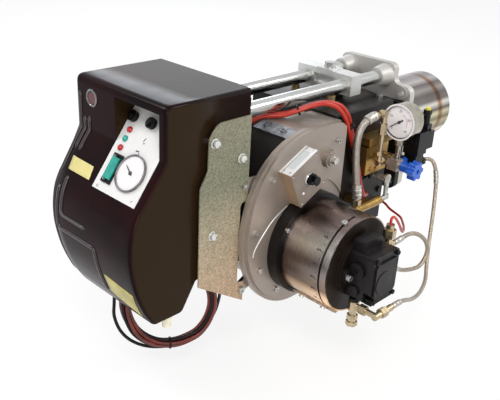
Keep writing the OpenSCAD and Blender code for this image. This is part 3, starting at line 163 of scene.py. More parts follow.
# Radius, finish and stiffness of each cord of one strand
CORDS = {
    "supply_hose": (0.0065, "hose", "stiff"), "pump_hose": (0.0036, "thin_hose", "stiff"),
    "loop_hose": (0.0036, "thin_hose", "stiff"), "red_lead_a": (0.0036, "lead", "medium"),
    "red_lead_b": (0.0036, "lead", "medium"), "black_lead": (0.0024, "cable", "medium"),
    "sensor_lead": (0.0022, "lead", "medium"), "loom_black": (0.0026, "cable", "medium"),
}

# The loom: strands, the outer ones' distance from the middle, radius, and turn in radians a metre
STRANDS, STRAND_OFF, STRAND_R, STRAND_TURN = 7, 0.0057, 0.0028, 9.0

# Crimped sleeves: the hose, and the share of it at which the sleeve starts (1 for its far end)
CRIMPS = (("supply_hose", 0.0), ("supply_hose", 1.0), ("pump_hose", 0.09), ("pump_hose", 1.0),
          ("loop_hose", 0.0), ("loop_hose", 1.0))

# The hood's front below the panel, in XZ
FRONT_CURVE = np.array([(-633, 26), (-641, 9), (-645, -8), (-647, -27), (-646.5, -48),
                        (-643, -70), (-637.5, -92), (-630, -113), (-620.5, -134)]) / 1000

# The light line on the fan cover: a thin bead in a lighter casting tone, a painted highlight on the
# cover's step edge
COVER_HIGHLIGHT_LINE = np.array([(-365.6, -126, -29.0), (-391.7, -126, -41.6), (-412.4, -126, -58.9),
                       (-432.3, -126, -83.0), (-435.7, -126, -95.7)]) / 1000

# The camera: its place, its axes, and its focal length and the picture's width in pixels
CAMERA_PLACE = -1.1470, -0.7872, 0.4488
CAMERA_RIGHT = Vector((0.70382, -0.70858, 0.05054))
CAMERA_UP = Vector((0.26508, 0.32797, 0.90674))
CAMERA_AHEAD = Vector((0.65907, 0.62478, -0.41866))
FOCAL_PIXELS, PICTURE_WIDTH, SENSOR = 728.62, 500.0, 36.0

# Lamps: name, place, the point that it is aimed at, size, power and colour
LAMPS = (
    ("key", (-1.75, -1.55, 2.35), (-0.3, -0.05, 0), 1.0, 38.0, (1.0, 0.97, 0.93)),
    ("right", (1.45, -1.75, 1.75), (-0.2, -0.1, 0), 1.0, 28.0, (1.0, 0.98, 0.95)),
    ("rim", (-1.55, 1.6, 1.95), (-0.5, 0, 0.1), 0.8, 22.0, (1.0, 0.98, 1.0)),
    ("back", (1.60, 2.30, 1.22), (-0.45, 0, 0.1), 1.3, 12.0, (0.86, 0.92, 1.0)),
    ("low", (-1.6, -1.7, 0.25), (-0.3, -0.1, -0.1), 0.9, 13.0, (1.0, 0.90, 0.78)),
)
FLOOR_HALF, FLOOR_Z = 9, -0.30


def colour(name, description, default):
    """A colour property with three channels."""
    return bpy.props.FloatVectorProperty(
        name=name, description=description, default=default, subtype="COLOR", size=3, min=0, max=1)


def length(name, description, default):
    """A length property in metres."""
    return bpy.props.FloatProperty(
        name=name, description=description, default=default, unit="LENGTH", min=0, precision=5)


class BurnerColours(bpy.types.PropertyGroup):
    """Colours of the burner's main finishes."""

    hood: colour("Hood", "Moulded hood", (0.0060, 0.0020, 0.0028))
    casting: colour("Castings", "Fan cover and housing", (0.30, 0.26, 0.228))
    flange: colour("Flange", "Cast mounting flange", (0.50, 0.49, 0.47))
    zinc: colour("Bright zinc", "Rails, bridge and screws", (0.54, 0.55, 0.54))
    plate: colour("Galvanised plate", "Side brackets", (0.20, 0.20, 0.145))
    brass: colour("Brass", "Fittings and valve block", (0.40, 0.25, 0.075))
    knob: colour("Handwheels", "Blue handwheels", (0.010, 0.085, 0.46))
    lead: colour("Red leads", "Silicone sleeved leads", (0.40, 0.016, 0.003))
    loom: colour("Loom", "Loom of red leads below the hood", (0.12, 0.010, 0.004))
    rocker: colour("Rocker", "Lit rocker switch", (0.010, 0.30, 0.25))


class BurnerSizes(bpy.types.PropertyGroup):
    """Sizes of the detail that the dressing adds."""

    soft_edge: length("Cast edges", "Rounding of the castings' edges", 0.0012)
    crisp_edge: length("Machined edges", "Rounding of machined and moulded edges", 0.0005)
    rib_width: length("Hood ribs", "Width of the hood's moulded ribs", 0.0062)
    rib_height: length("Rib height", "Height of the hood's moulded ribs", 0.0026)
    digit: length("Drum digits", "Height of the digits on the air drum", 0.0098)
    crimp: length("Hose crimps", "Length of the crimped sleeves on the hoses", 0.026)


# Meshes


def new_piece(name, points, faces, coat, node, uv=None, smooth=True, sharp=35):
    """A mesh piece with the body of a CAD node; coat is one finish or several."""
    mesh = bpy.data.meshes.new(name)
    mesh.from_pydata(np.asarray(points, float).tolist(), [], faces)
    mesh.polygons.foreach_set("use_smooth", [smooth] * len(mesh.polygons))
    if uv is not None:
        loops = np.zeros(len(mesh.loops), np.int32)
        mesh.loops.foreach_get("vertex_index", loops)
        layer = mesh.uv_layers.new(name="along")
        layer.data.foreach_set("uv", np.asarray(uv, np.float32)[loops].ravel())
    if smooth:
        mesh.set_sharp_from_angle(angle=math.radians(sharp))
    mesh.update()
    obj = bpy.data.objects.new(name, mesh)
    bpy.context.scene.collection.objects.link(obj)
    for one in [coat] if isinstance(coat, str) else coat:
        mesh.materials.append(finish(one))
    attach(obj, BODIES[node])
    return obj


def grid_faces(rows, columns, closed=False, start=0):
    """Quads of a grid of rows x columns points; closed joins the last column to the first."""
    i, j = np.meshgrid(np.arange(rows - 1), np.arange(columns if closed else columns - 1),
                       indexing="ij")
    k = (j + 1) % columns
    quads = np.stack([i * columns + j, (i + 1) * columns + j, (i + 1) * columns + k,
                      i * columns + k], -1)
    return (quads.reshape(-1, 4) + start).tolist()


def through(points, steps):
    """A smooth curve through the points: Catmull-Rom cubics, steps to each span."""
    p = np.asarray(points, float)
    q = np.vstack([p[:1], p, p[-1:]])
    t = np.linspace(0, 1, steps, endpoint=False)[None, :, None]
    a, b, c, d = (q[k:len(q) - 3 + k][:, None] for k in range(4))
    curve = 0.5 * (2 * b + (c - a) * t + (2 * a - 5 * b + 4 * c - d) * t ** 2
                   + (3 * b - a - 3 * c + d) * t ** 3)
    return np.vstack([curve.reshape(-1, p.shape[1]), p[-1:]])


def arc_lengths(path):
    """Distance along the path at each of its points."""
    return np.concatenate([[0], np.cumsum(np.linalg.norm(np.diff(path, axis=0), axis=1))])


def path_frames(path):
    """Tangent, normal and binormal at each point, the normal carried on with the least turn."""
    t = np.gradient(path, axis=0)
    t /= np.linalg.norm(t, axis=1)[:, None]
    n = np.cross(t[0], [0, 0, 1] if abs(t[0][2]) < 0.9 else [1, 0, 0])
    normals = []
    for tangent in t:
        n = n - (n @ tangent) * tangent
        n = n / np.linalg.norm(n)
        normals.append(n)
    n = np.array(normals)
    return t, n, np.cross(t, n)


def tube_surface(path, radius, sides=20):
    """Points, faces and UV of a capped tube: p(s, a) = path(s) + radius(s) (cos a n + sin a b)."""
    path = np.asarray(path, float)
    rows = len(path)
    r = np.broadcast_to(np.asarray(radius, float), (rows,))
    _, n, b = path_frames(path)
    a = np.linspace(0, 2 * np.pi, sides, endpoint=False)
    points = (path[:, None] + r[:, None, None]
              * (np.cos(a)[None, :, None] * n[:, None] + np.sin(a)[None, :, None] * b[:, None]))
    v = arc_lengths(path)
    mean = float(np.mean(r))
    uv = np.stack(np.broadcast_arrays(a[None, :] * mean, v[:, None]), -1)
    faces = [f[::-1] for f in grid_faces(rows, sides, closed=True)]
    faces += [list(range(sides))[::-1], [(rows - 1) * sides + k for k in range(sides)]]
    return points.reshape(-1, 3), faces, uv.reshape(-1, 2)


def turned(profile, centre, axis, sides=64):
    """Points and faces of a turned piece: p(h, a) = centre + h axis + r(h) (cos a u + sin a v).

    The profile holds (h, r). With h to the right and r up, the faces point to the left of its
    way, and a last radius under POLE is closed.
    """
    centre, axis = np.asarray(centre, float), np.asarray(axis, float)
    side = np.cross(axis, [0, 0, 1] if abs(axis[2]) < 0.9 else [1, 0, 0])
    side /= np.linalg.norm(side)
    other = np.cross(axis, side)
    a = np.linspace(0, 2 * np.pi, sides, endpoint=False)
    h, r = np.asarray(profile, float).T
    points = (centre + h[:, None, None] * axis
              + r[:, None, None] * (np.cos(a)[None, :, None] * side
                                    + np.sin(a)[None, :, None] * other))
    faces = [f[::-1] for f in grid_faces(len(h), sides, closed=True)]
    if r[-1] < POLE:
        faces.append([(len(h) - 1) * sides + k for k in range(sides)])
    return points.reshape(-1, 3), faces


def dressed(node, coat, edge, *patches):
    """A copy of a CAD node with merged points, joined flat faces, rounded edges and finishes.

    The coat goes everywhere. Each patch is (finish, test), and its test takes the faces'
    centres and normals in metres and gives True where that finish goes.
    """
    mesh = bpy.data.meshes.new(node + "_finish")
    work = bmesh.new()
    work.from_mesh(frame["nodes"][node].data)
    bmesh.ops.remove_doubles(work, verts=work.verts, dist=2e-6)
    bmesh.ops.dissolve_limit(work, angle_limit=0.012, verts=work.verts, edges=work.edges)
    work.to_mesh(mesh)
    work.free()
    if "custom_normal" in mesh.attributes:
        mesh.attributes.remove(mesh.attributes["custom_normal"])
    count = len(mesh.polygons)
    mesh.polygons.foreach_set("use_smooth", [True] * count)
    index = np.zeros(count, np.int32)
    centre, normal = np.zeros(count * 3), np.zeros(count * 3)
    mesh.polygons.foreach_get("center", centre)
    mesh.polygons.foreach_get("normal", normal)
    mesh.materials.clear()
    mesh.materials.append(finish(coat))
    for k, (other, test) in enumerate(patches, 1):
        mesh.materials.append(finish(other))
        index[test(centre.reshape(-1, 3), normal.reshape(-1, 3))] = k
    mesh.polygons.foreach_set("material_index", index)
    mesh.set_sharp_from_angle(angle=math.radians(SHARP))
    mesh.update()
    obj = bpy.data.objects.new(mesh.name, mesh)
    bpy.context.scene.collection.objects.link(obj)
    if edge:
        bevel = obj.modifiers.new("soft edges", "BEVEL")
        bevel.width = edge
        bevel.segments = 2
        bevel.limit_method = "ANGLE"
        bevel.angle_limit = math.radians(SHARP)
        bevel.use_clamp_overlap = True
        bevel.harden_normals = True
    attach(obj, BODIES[node])
    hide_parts(node)
    return obj


def coated(node, coat):
    """Gives a CAD node that stays as it is its finish."""
    obj = frame["nodes"][node]
    obj.data.materials.clear()
    obj.data.materials.append(finish(coat))


def lettering(text, size, weight=0.0):
    """Outline faces of a line of figures, centred on the origin; weight thickens its strokes."""
    curve = bpy.data.curves.new("figures", "FONT")
    curve.body, curve.size, curve.offset = text, size, weight
    curve.align_x, curve.align_y = "CENTER", "CENTER"
    obj = bpy.data.objects.new("figures", curve)
    bpy.context.scene.collection.objects.link(obj)
    bpy.context.view_layer.update()
    mesh = obj.to_mesh()
    points = np.array([v.co for v in mesh.vertices], float).reshape(-1, 3)[:, :2]
    faces = [list(p.vertices) for p in mesh.polygons]
    obj.to_mesh_clear()
    bpy.data.objects.remove(obj)
    bpy.data.curves.remove(curve)
    return points, faces


def bars(marks):
    """Flat rectangles: each mark is (centre x, centre y, angle, length, width)."""
    x, y, a, l, w = np.asarray(marks, float).T
    u = np.stack([np.cos(a), np.sin(a)], -1) * l[:, None] / 2
    v = np.stack([-np.sin(a), np.cos(a)], -1) * w[:, None] / 2
    c = np.stack([x, y], -1)
    points = np.stack([c - u - v, c + u - v, c + u + v, c - u + v], 1).reshape(-1, 2)
    return points, np.arange(len(points)).reshape(-1, 4).tolist()


def gathered(parts):
    """Joins flat drawings, each (points, faces), into one."""
    points, faces, start = [], [], 0
    for p, f in parts:
        points.append(p)
        faces += [[i + start for i in face] for face in f]
        start += len(p)
    return np.vstack(points), faces


def round_ticks(angles, radius, lengths, widths):
    """Ticks round a dial: bars that point at its centre, at angles from the top."""
    return bars(np.stack(np.broadcast_arrays(
        radius * np.sin(angles), radius * np.cos(angles), np.pi / 2 - angles, lengths, widths), -1))


def pointer(node, centre, out, along, reach, tail):
    """A dial's pointer: a tapered blade with a counterweight and a domed hub."""
    out, along = np.asarray(out, float), np.asarray(along, float)
    side = np.cross(out, along)
    shape = np.array([(-tail, 0.0010), (-tail * 0.45, 0.0014), (0.0, 0.0009),
                      (reach * 0.7, 0.0007), (reach, 0.00012)])
    rim = [centre + a * along + w * s * side for s in (1, -1) for a, w in shape[::s]]
    low = np.array(rim)
    points = np.vstack([low, low + 0.0005 * out])
    k = len(low)
    faces = [list(range(k))[::-1], list(range(k, 2 * k))]
    faces += [[i, (i + 1) % k, k + (i + 1) % k, k + i] for i in range(k)]
    hub, hub_faces = turned([(-0.0002, 0.0028), (0.0008, 0.0027), (0.0013, 0.0018),
                             (0.0014, 0.0001)], centre, out, 24)
    points, faces = gathered([(points, faces), (hub, hub_faces)])
    piece = new_piece(node + "_blade", points, faces, "ink", node)
    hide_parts(node)


# Finishes


def chosen(tone):
    """A colour given as numbers, or the one of the burner's colours that has that name."""
    if isinstance(tone, str):
        return tuple(getattr(bpy.context.scene.burner_colours, tone))
    return tone


def shader(name):
    """An empty material with a Principled BSDF and object coordinates."""
    material = bpy.data.materials.new(name)
    material.use_nodes = True
    tree = material.node_tree
    tree.nodes.clear()
    out = tree.nodes.new("ShaderNodeOutputMaterial")
    bsdf = tree.nodes.new("ShaderNodeBsdfPrincipled")
    tree.links.new(bsdf.outputs[0], out.inputs[0])
    place = tree.nodes.new("ShaderNodeTexCoord")
    return material, tree, bsdf, place.outputs["Object"]


def feed(tree, value, socket):
    """Links a value to an input, or sets the input where the value is a number or a colour."""
    if isinstance(value, bpy.types.NodeSocket):
        tree.links.new(value, socket)
    else:
        socket.default_value = value if isinstance(value, float) else (*value, 1)


def noise(tree, place, scale, stretch=(1, 1, 1), detail=4.0):
    """Noise on object coordinates, stretched by a Mapping node."""
    mapping = tree.nodes.new("ShaderNodeMapping")
    mapping.inputs["Scale"].default_value = stretch
    texture = tree.nodes.new("ShaderNodeTexNoise")
    for key, amount in (("Scale", scale), ("Detail", detail), ("Roughness", 0.6)):
        texture.inputs[key].default_value = amount
    tree.links.new(place, mapping.inputs[0])
    tree.links.new(mapping.outputs[0], texture.inputs[0])
    return texture.outputs[0]


def crystals(tree, place, scale):
    """Three random values for each cell of a Voronoi pattern."""
    cells = tree.nodes.new("ShaderNodeTexVoronoi")
    cells.inputs["Scale"].default_value = scale
    tree.links.new(place, cells.inputs["Vector"])
    split = tree.nodes.new("ShaderNodeSeparateColor")
    tree.links.new(cells.outputs["Color"], split.inputs[0])
    return split.outputs


def axes(tree, vector):
    """The x, y and z of a vector."""
    split = tree.nodes.new("ShaderNodeSeparateXYZ")
    tree.links.new(vector, split.inputs[0])
    return split.outputs


def ramp(tree, value, stops):
    """A colour ramp; stops are (place, colour)."""
    node = tree.nodes.new("ShaderNodeValToRGB")
    elements = node.color_ramp.elements
    while len(elements) < len(stops):
        elements.new(0.5)
    for element, (at, tone) in zip(elements, stops):
        element.position = at
        element.color = (*tone, 1)
    tree.links.new(value, node.inputs[0])
    return node.outputs[0]


def remapped(tree, value, start, end, low=0.0, high=1.0):
    """Maps a value from start-end to low-high."""
    node = tree.nodes.new("ShaderNodeMapRange")
    keys = "From Min", "From Max", "To Min", "To Max"
    for key, amount in zip(keys, (start, end, low, high)):
        node.inputs[key].default_value = amount
    tree.links.new(value, node.inputs[0])
    return node.outputs[0]


def spread(tree, value, low, high):
    """Maps the middle of a noise, 0.3-0.7, to low-high."""
    return remapped(tree, value, 0.3, 0.7, low, high)


def calculated(tree, kind, *values):
    """The result of a Math node; each value is a socket or a number."""
    node = tree.nodes.new("ShaderNodeMath")
    node.operation = kind
    for value, socket in zip(values, node.inputs):
        feed(tree, value, socket)
    return node.outputs[0]


def mixed(tree, factor, first, second, kind="MIX"):
    """Two colours mixed by a factor, a number or a socket."""
    node = tree.nodes.new("ShaderNodeMix")
    node.data_type = "RGBA"
    node.blend_type = kind
    for value, socket in ((factor, 0), (first, 6), (second, 7)):
        feed(tree, value, node.inputs[socket])
    return node.outputs[2]


def bump(tree, bsdf, height, strength, distance):
    """A bump on the shader from a height."""
    node = tree.nodes.new("ShaderNodeBump")
    node.inputs["Strength"].default_value = strength
    node.inputs["Distance"].default_value = distance
    tree.links.new(height, node.inputs["Height"])
    tree.links.new(node.outputs[0], bsdf.inputs["Normal"])


def surfaced(tree, bsdf, tone, rough, metallic=0.0, specular=0.5):
    """Gives the shader its colour and roughness, both sockets, and its metal and specular."""
    tree.links.new(tone, bsdf.inputs["Base Color"])
    tree.links.new(rough, bsdf.inputs["Roughness"])
    bsdf.inputs["Metallic"].default_value = metallic
    bsdf.inputs["Specular IOR Level"].default_value = specular


def seen_share(tree, share):
    """The share for rays of the camera, of reflections and of glass, and 0 for all others."""
    rays = tree.nodes.new("ShaderNodeLightPath").outputs
    total = calculated(tree, "MAXIMUM", rays["Is Camera Ray"], rays["Is Glossy Ray"])
    total = calculated(tree, "MAXIMUM", total, rays["Is Transmission Ray"])
    return calculated(tree, "MULTIPLY", total, share)


def shown_apart(tree, share, plain, shown, out):
    """Gives the share of the rays that are seen the shown shader, and all others the plain one."""
    mix = tree.nodes.new("ShaderNodeMixShader")
    tree.links.new(seen_share(tree, share), mix.inputs[0])
    tree.links.new(plain.outputs[0], mix.inputs[1])
    tree.links.new(shown.outputs[0], mix.inputs[2])
    tree.links.new(mix.outputs[0], out.inputs[0])


def shades(tone, down, up):
    """A darker and a lighter shade of a colour."""
    return [c * down for c in tone], [min(1.0, c * up) for c in tone]


def general_finish(name, tone, metallic=0.0, rough=(0.3, 0.45), variation=(0.85, 1.12), patch=14.0,
                   stretch=(1, 1, 1), grain=0.1, grain_size=700.0, grain_stretch=(1, 1, 1),
                   specular=0.5):
    """A finish with broad patches of tone and roughness and a fine grain in its bump."""
    material, tree, bsdf, place = shader(name)
    broad = noise(tree, place, patch, stretch)
    low, high = shades(chosen(tone), *variation)
    surfaced(tree, bsdf, ramp(tree, broad, [(0.3, low), (0.7, high)]),
             spread(tree, broad, rough[1], rough[0]), metallic, specular)
    fine = noise(tree, place, grain_size, grain_stretch, detail=2.0)
    bump(tree, bsdf, fine, grain, 0.0004)
    return material


def galvanised_finish(name, tone, cell, bright):
    """Spangled zinc: flat crystals of differing tone with a grey bloom over them."""
    material, tree, bsdf, place = shader(name)
    cells = crystals(tree, place, cell)
    low, high = shades(tone, 0.66, bright)
    spangle = ramp(tree, cells[0], [(0.0, low), (1.0, high)])
    bloom = noise(tree, place, 9.0)
    warm = ramp(tree, bloom, [(0.32, (0.90, 0.98, 0.92)), (0.68, (1.08, 0.98, 0.92))])
    surfaced(tree, bsdf, mixed(tree, 1.0, spangle, warm, "MULTIPLY"),
             spread(tree, cells[1], 0.34, 0.52), metallic=0.75)
    bump(tree, bsdf, noise(tree, place, 420.0, detail=3.0), 0.12, 0.0003)
    return material


def plate_finish(name, tone):
    """Passivated plate: fine speckle over olive that turns to tan towards the foot."""
    material, tree, bsdf, place = shader(name)
    tone = chosen(tone)
    height = remapped(tree, axes(tree, place)[2], *PLATE_HEIGHTS)
    hue = ramp(tree, height, [
        (0.0, (tone[0] * 2.1, tone[1] * 1.5, tone[2] * 1.4)),
        (0.45, (tone[0] * 1.7, tone[1] * 1.5, tone[2] * 1.5)),
        (0.72, (tone[0] * 0.9, tone[1] * 0.95, tone[2] * 0.95)), (1.0, tone)])
    cells = crystals(tree, place, 620.0)
    speckle = ramp(tree, cells[0], [(0.0, (0.62, 0.62, 0.60)), (1.0, (1.32, 1.30, 1.26))])
    surfaced(tree, bsdf, mixed(tree, 1.0, hue, speckle, "MULTIPLY"),
             spread(tree, cells[1], 0.38, 0.55), metallic=0.35)
    bump(tree, bsdf, noise(tree, place, 500.0, detail=3.0), 0.12, 0.0003)
    return material


def turned_steel_finish(name, tones, centre, radius, axis, bands, rough, streak):
    """Rolled stainless: painted reflections as tones by height, other tones along the axis, and
    fine turned streaks.

    The heights run from 0 at the foot to 1 at the top. The axis is 0 for x and 1 for y, and
    bands holds where along it the tones start and end, and the tones: a weld band on the tube,
    painted shade and highlight on the drum.
    """
    material, tree, bsdf, place = shader(name)
    xyz = axes(tree, place)
    # Tones by height: painted reflections, light and dark bands fixed to the part.
    tone = ramp(tree, remapped(tree, xyz[2], centre - radius, centre + radius), tones)
    smear = noise(tree, place, 22.0, stretch=(0.4, 0.4, 1.0))
    start, end, stops = bands
    along = remapped(tree, xyz[axis], start, end)
    for shade in (ramp(tree, smear, [(0.3, (0.80, 0.80, 0.81)), (0.7, (1.1, 1.1, 1.1))]),
                  ramp(tree, along, stops)):
        tone = mixed(tree, 1.0, tone, shade, "MULTIPLY")
    stretch = [40.0 if k == axis else 1.0 for k in range(3)]
    fine = noise(tree, place, streak, stretch, detail=2.0)
    surfaced(tree, bsdf, tone, spread(tree, fine, *rough), metallic=1.0)
    bump(tree, bsdf, fine, 0.03, 0.0002)
    return material


def hood_finish(name, tone):
    """Black gloss moulding: a maroon cast on the front, a painted brown reflection on the sides,
    faint orange peel.
    """
    material, tree, bsdf, place = shader(name)
    tone = chosen(tone)
    facing = tree.nodes.new("ShaderNodeNewGeometry").outputs["Normal"]
    # Painted reflection: brown is mixed in on the faces that look sideways along ±Y.
    side = calculated(tree, "ABSOLUTE", axes(tree, facing)[1])
    wall = calculated(tree, "POWER", side, 8.0)
    broad = noise(tree, place, 7.0)
    low, high = shades(tone, 0.55, 1.0)
    front = ramp(tree, broad, [(0.38, low), (0.62, (tone[0] * 2.2, high[1], tone[2] * 1.1))])
    tone_with_side_reflection = mixed(tree, wall, front, (tone[0] * 3.4, tone[0] * 2.0, tone[0] * 0.9))
    rough = spread(tree, noise(tree, place, 25.0), 0.16, 0.24)
    surfaced(tree, bsdf, tone_with_side_reflection, rough, specular=0.06)
    bump(tree, bsdf, noise(tree, place, 420.0, detail=2.0), 0.05, 0.0002)
    return material


def braid_finish(name, tone, pitch):
    """Wire braid: two families of wires crossing on the hose, on its own UV map in metres."""
    material, tree, bsdf, _ = shader(name)
    place = tree.nodes.new("ShaderNodeUVMap")
    place.uv_map = "along"
    heights = []
    for turn in (0.85, -0.85):
        mapping = tree.nodes.new("ShaderNodeMapping")
        mapping.inputs["Rotation"].default_value = (0, 0, turn)
        mapping.inputs["Scale"].default_value = (1 / pitch,) * 3
        wave = tree.nodes.new("ShaderNodeTexWave")
        wave.inputs["Scale"].default_value = 0.32
        wave.inputs["Distortion"].default_value = 0.6
        tree.links.new(place.outputs[0], mapping.inputs[0])
        tree.links.new(mapping.outputs[0], wave.inputs[0])
        heights.append(wave.outputs["Fac"])
    weave = calculated(tree, "MAXIMUM", *heights)
    low, high = shades(tone, 0.22, 1.35)
    surfaced(tree, bsdf, ramp(tree, weave, [(0.25, low), (0.85, high)]),
             spread(tree, weave, 0.42, 0.24), metallic=0.85)
    bump(tree, bsdf, weave, 0.5, 0.0006)
    return material


def lens_finish(name, tone):
    """A moulded lens that lets a little light through."""
    material, tree, bsdf, place = shader(name)
    broad = noise(tree, place, 160.0)
    low, high = shades(chosen(tone), 0.75, 1.25)
    surfaced(tree, bsdf, ramp(tree, broad, [(0.3, low), (0.7, high)]),
             spread(tree, broad, 0.08, 0.18))
    bsdf.inputs["Subsurface Weight"].default_value = 0.15
    bsdf.inputs["Subsurface Scale"].default_value = 0.002
    bump(tree, bsdf, noise(tree, place, 500.0), 0.08, 0.0003)
    return material


# Heights between which the plate's tone changes
PLATE_HEIGHTS = -0.16, 0.11

# Tones of the blast tube by height, light and dark bands of painted reflection, and its weld band
# along x
TUBE_REFLECTION_TONES = [
    (0.0, (0.42, 0.20, 0.10)), (0.10, (0.50, 0.30, 0.16)), (0.17, (0.34, 0.33, 0.16)),
    (0.24, (0.72, 0.70, 0.52)), (0.30, (0.16, 0.13, 0.07)), (0.40, (0.46, 0.42, 0.26)),
    (0.46, (0.20, 0.17, 0.09)), (0.54, (0.60, 0.57, 0.40)), (0.60, (0.13, 0.11, 0.09)),
    (0.68, (0.74, 0.72, 0.66)), (0.73, (0.20, 0.18, 0.17)), (0.82, (0.15, 0.13, 0.13)),
    (0.88, (0.38, 0.35, 0.32)), (0.93, (0.18, 0.15, 0.15)), (0.97, (0.56, 0.53, 0.51)),
    (1.0, (0.26, 0.23, 0.24))]
TUBE_BANDS = 0.0, 0.2, [
    (0.0, (1, 1, 1)), (0.76, (1, 1, 1)), (0.795, (0.72, 0.48, 0.34)),
    (0.82, (0.46, 0.28, 0.19)), (0.85, (0.78, 0.56, 0.44)), (0.88, (1, 1, 1))]

# Tones of the air drum by height, which are painted reflections, and along y from the collar
# to the disc: painted shade by the collar and a painted highlight towards the disc
DRUM_REFLECTION_TONES = [
    (0.0, (0.56, 0.38, 0.24)), (0.12, (0.90, 0.63, 0.41)), (0.27, (0.78, 0.53, 0.33)),
    (0.36, (0.20, 0.14, 0.10)), (0.50, (0.24, 0.20, 0.18)), (0.62, (0.24, 0.21, 0.21)),
    (0.76, (0.80, 0.78, 0.78)), (0.86, (0.42, 0.38, 0.38)), (0.93, (0.17, 0.13, 0.12)),
    (1.0, (0.18, 0.14, 0.13))]
DRUM_HIGHLIGHT_BANDS = -0.15, -0.24, [
    (0.0, (0.55, 0.50, 0.47)), (0.35, (0.72, 0.68, 0.66)), (0.75, (1.12, 1.1, 1.1)),
    (1.0, (1.3, 1.3, 1.3))]

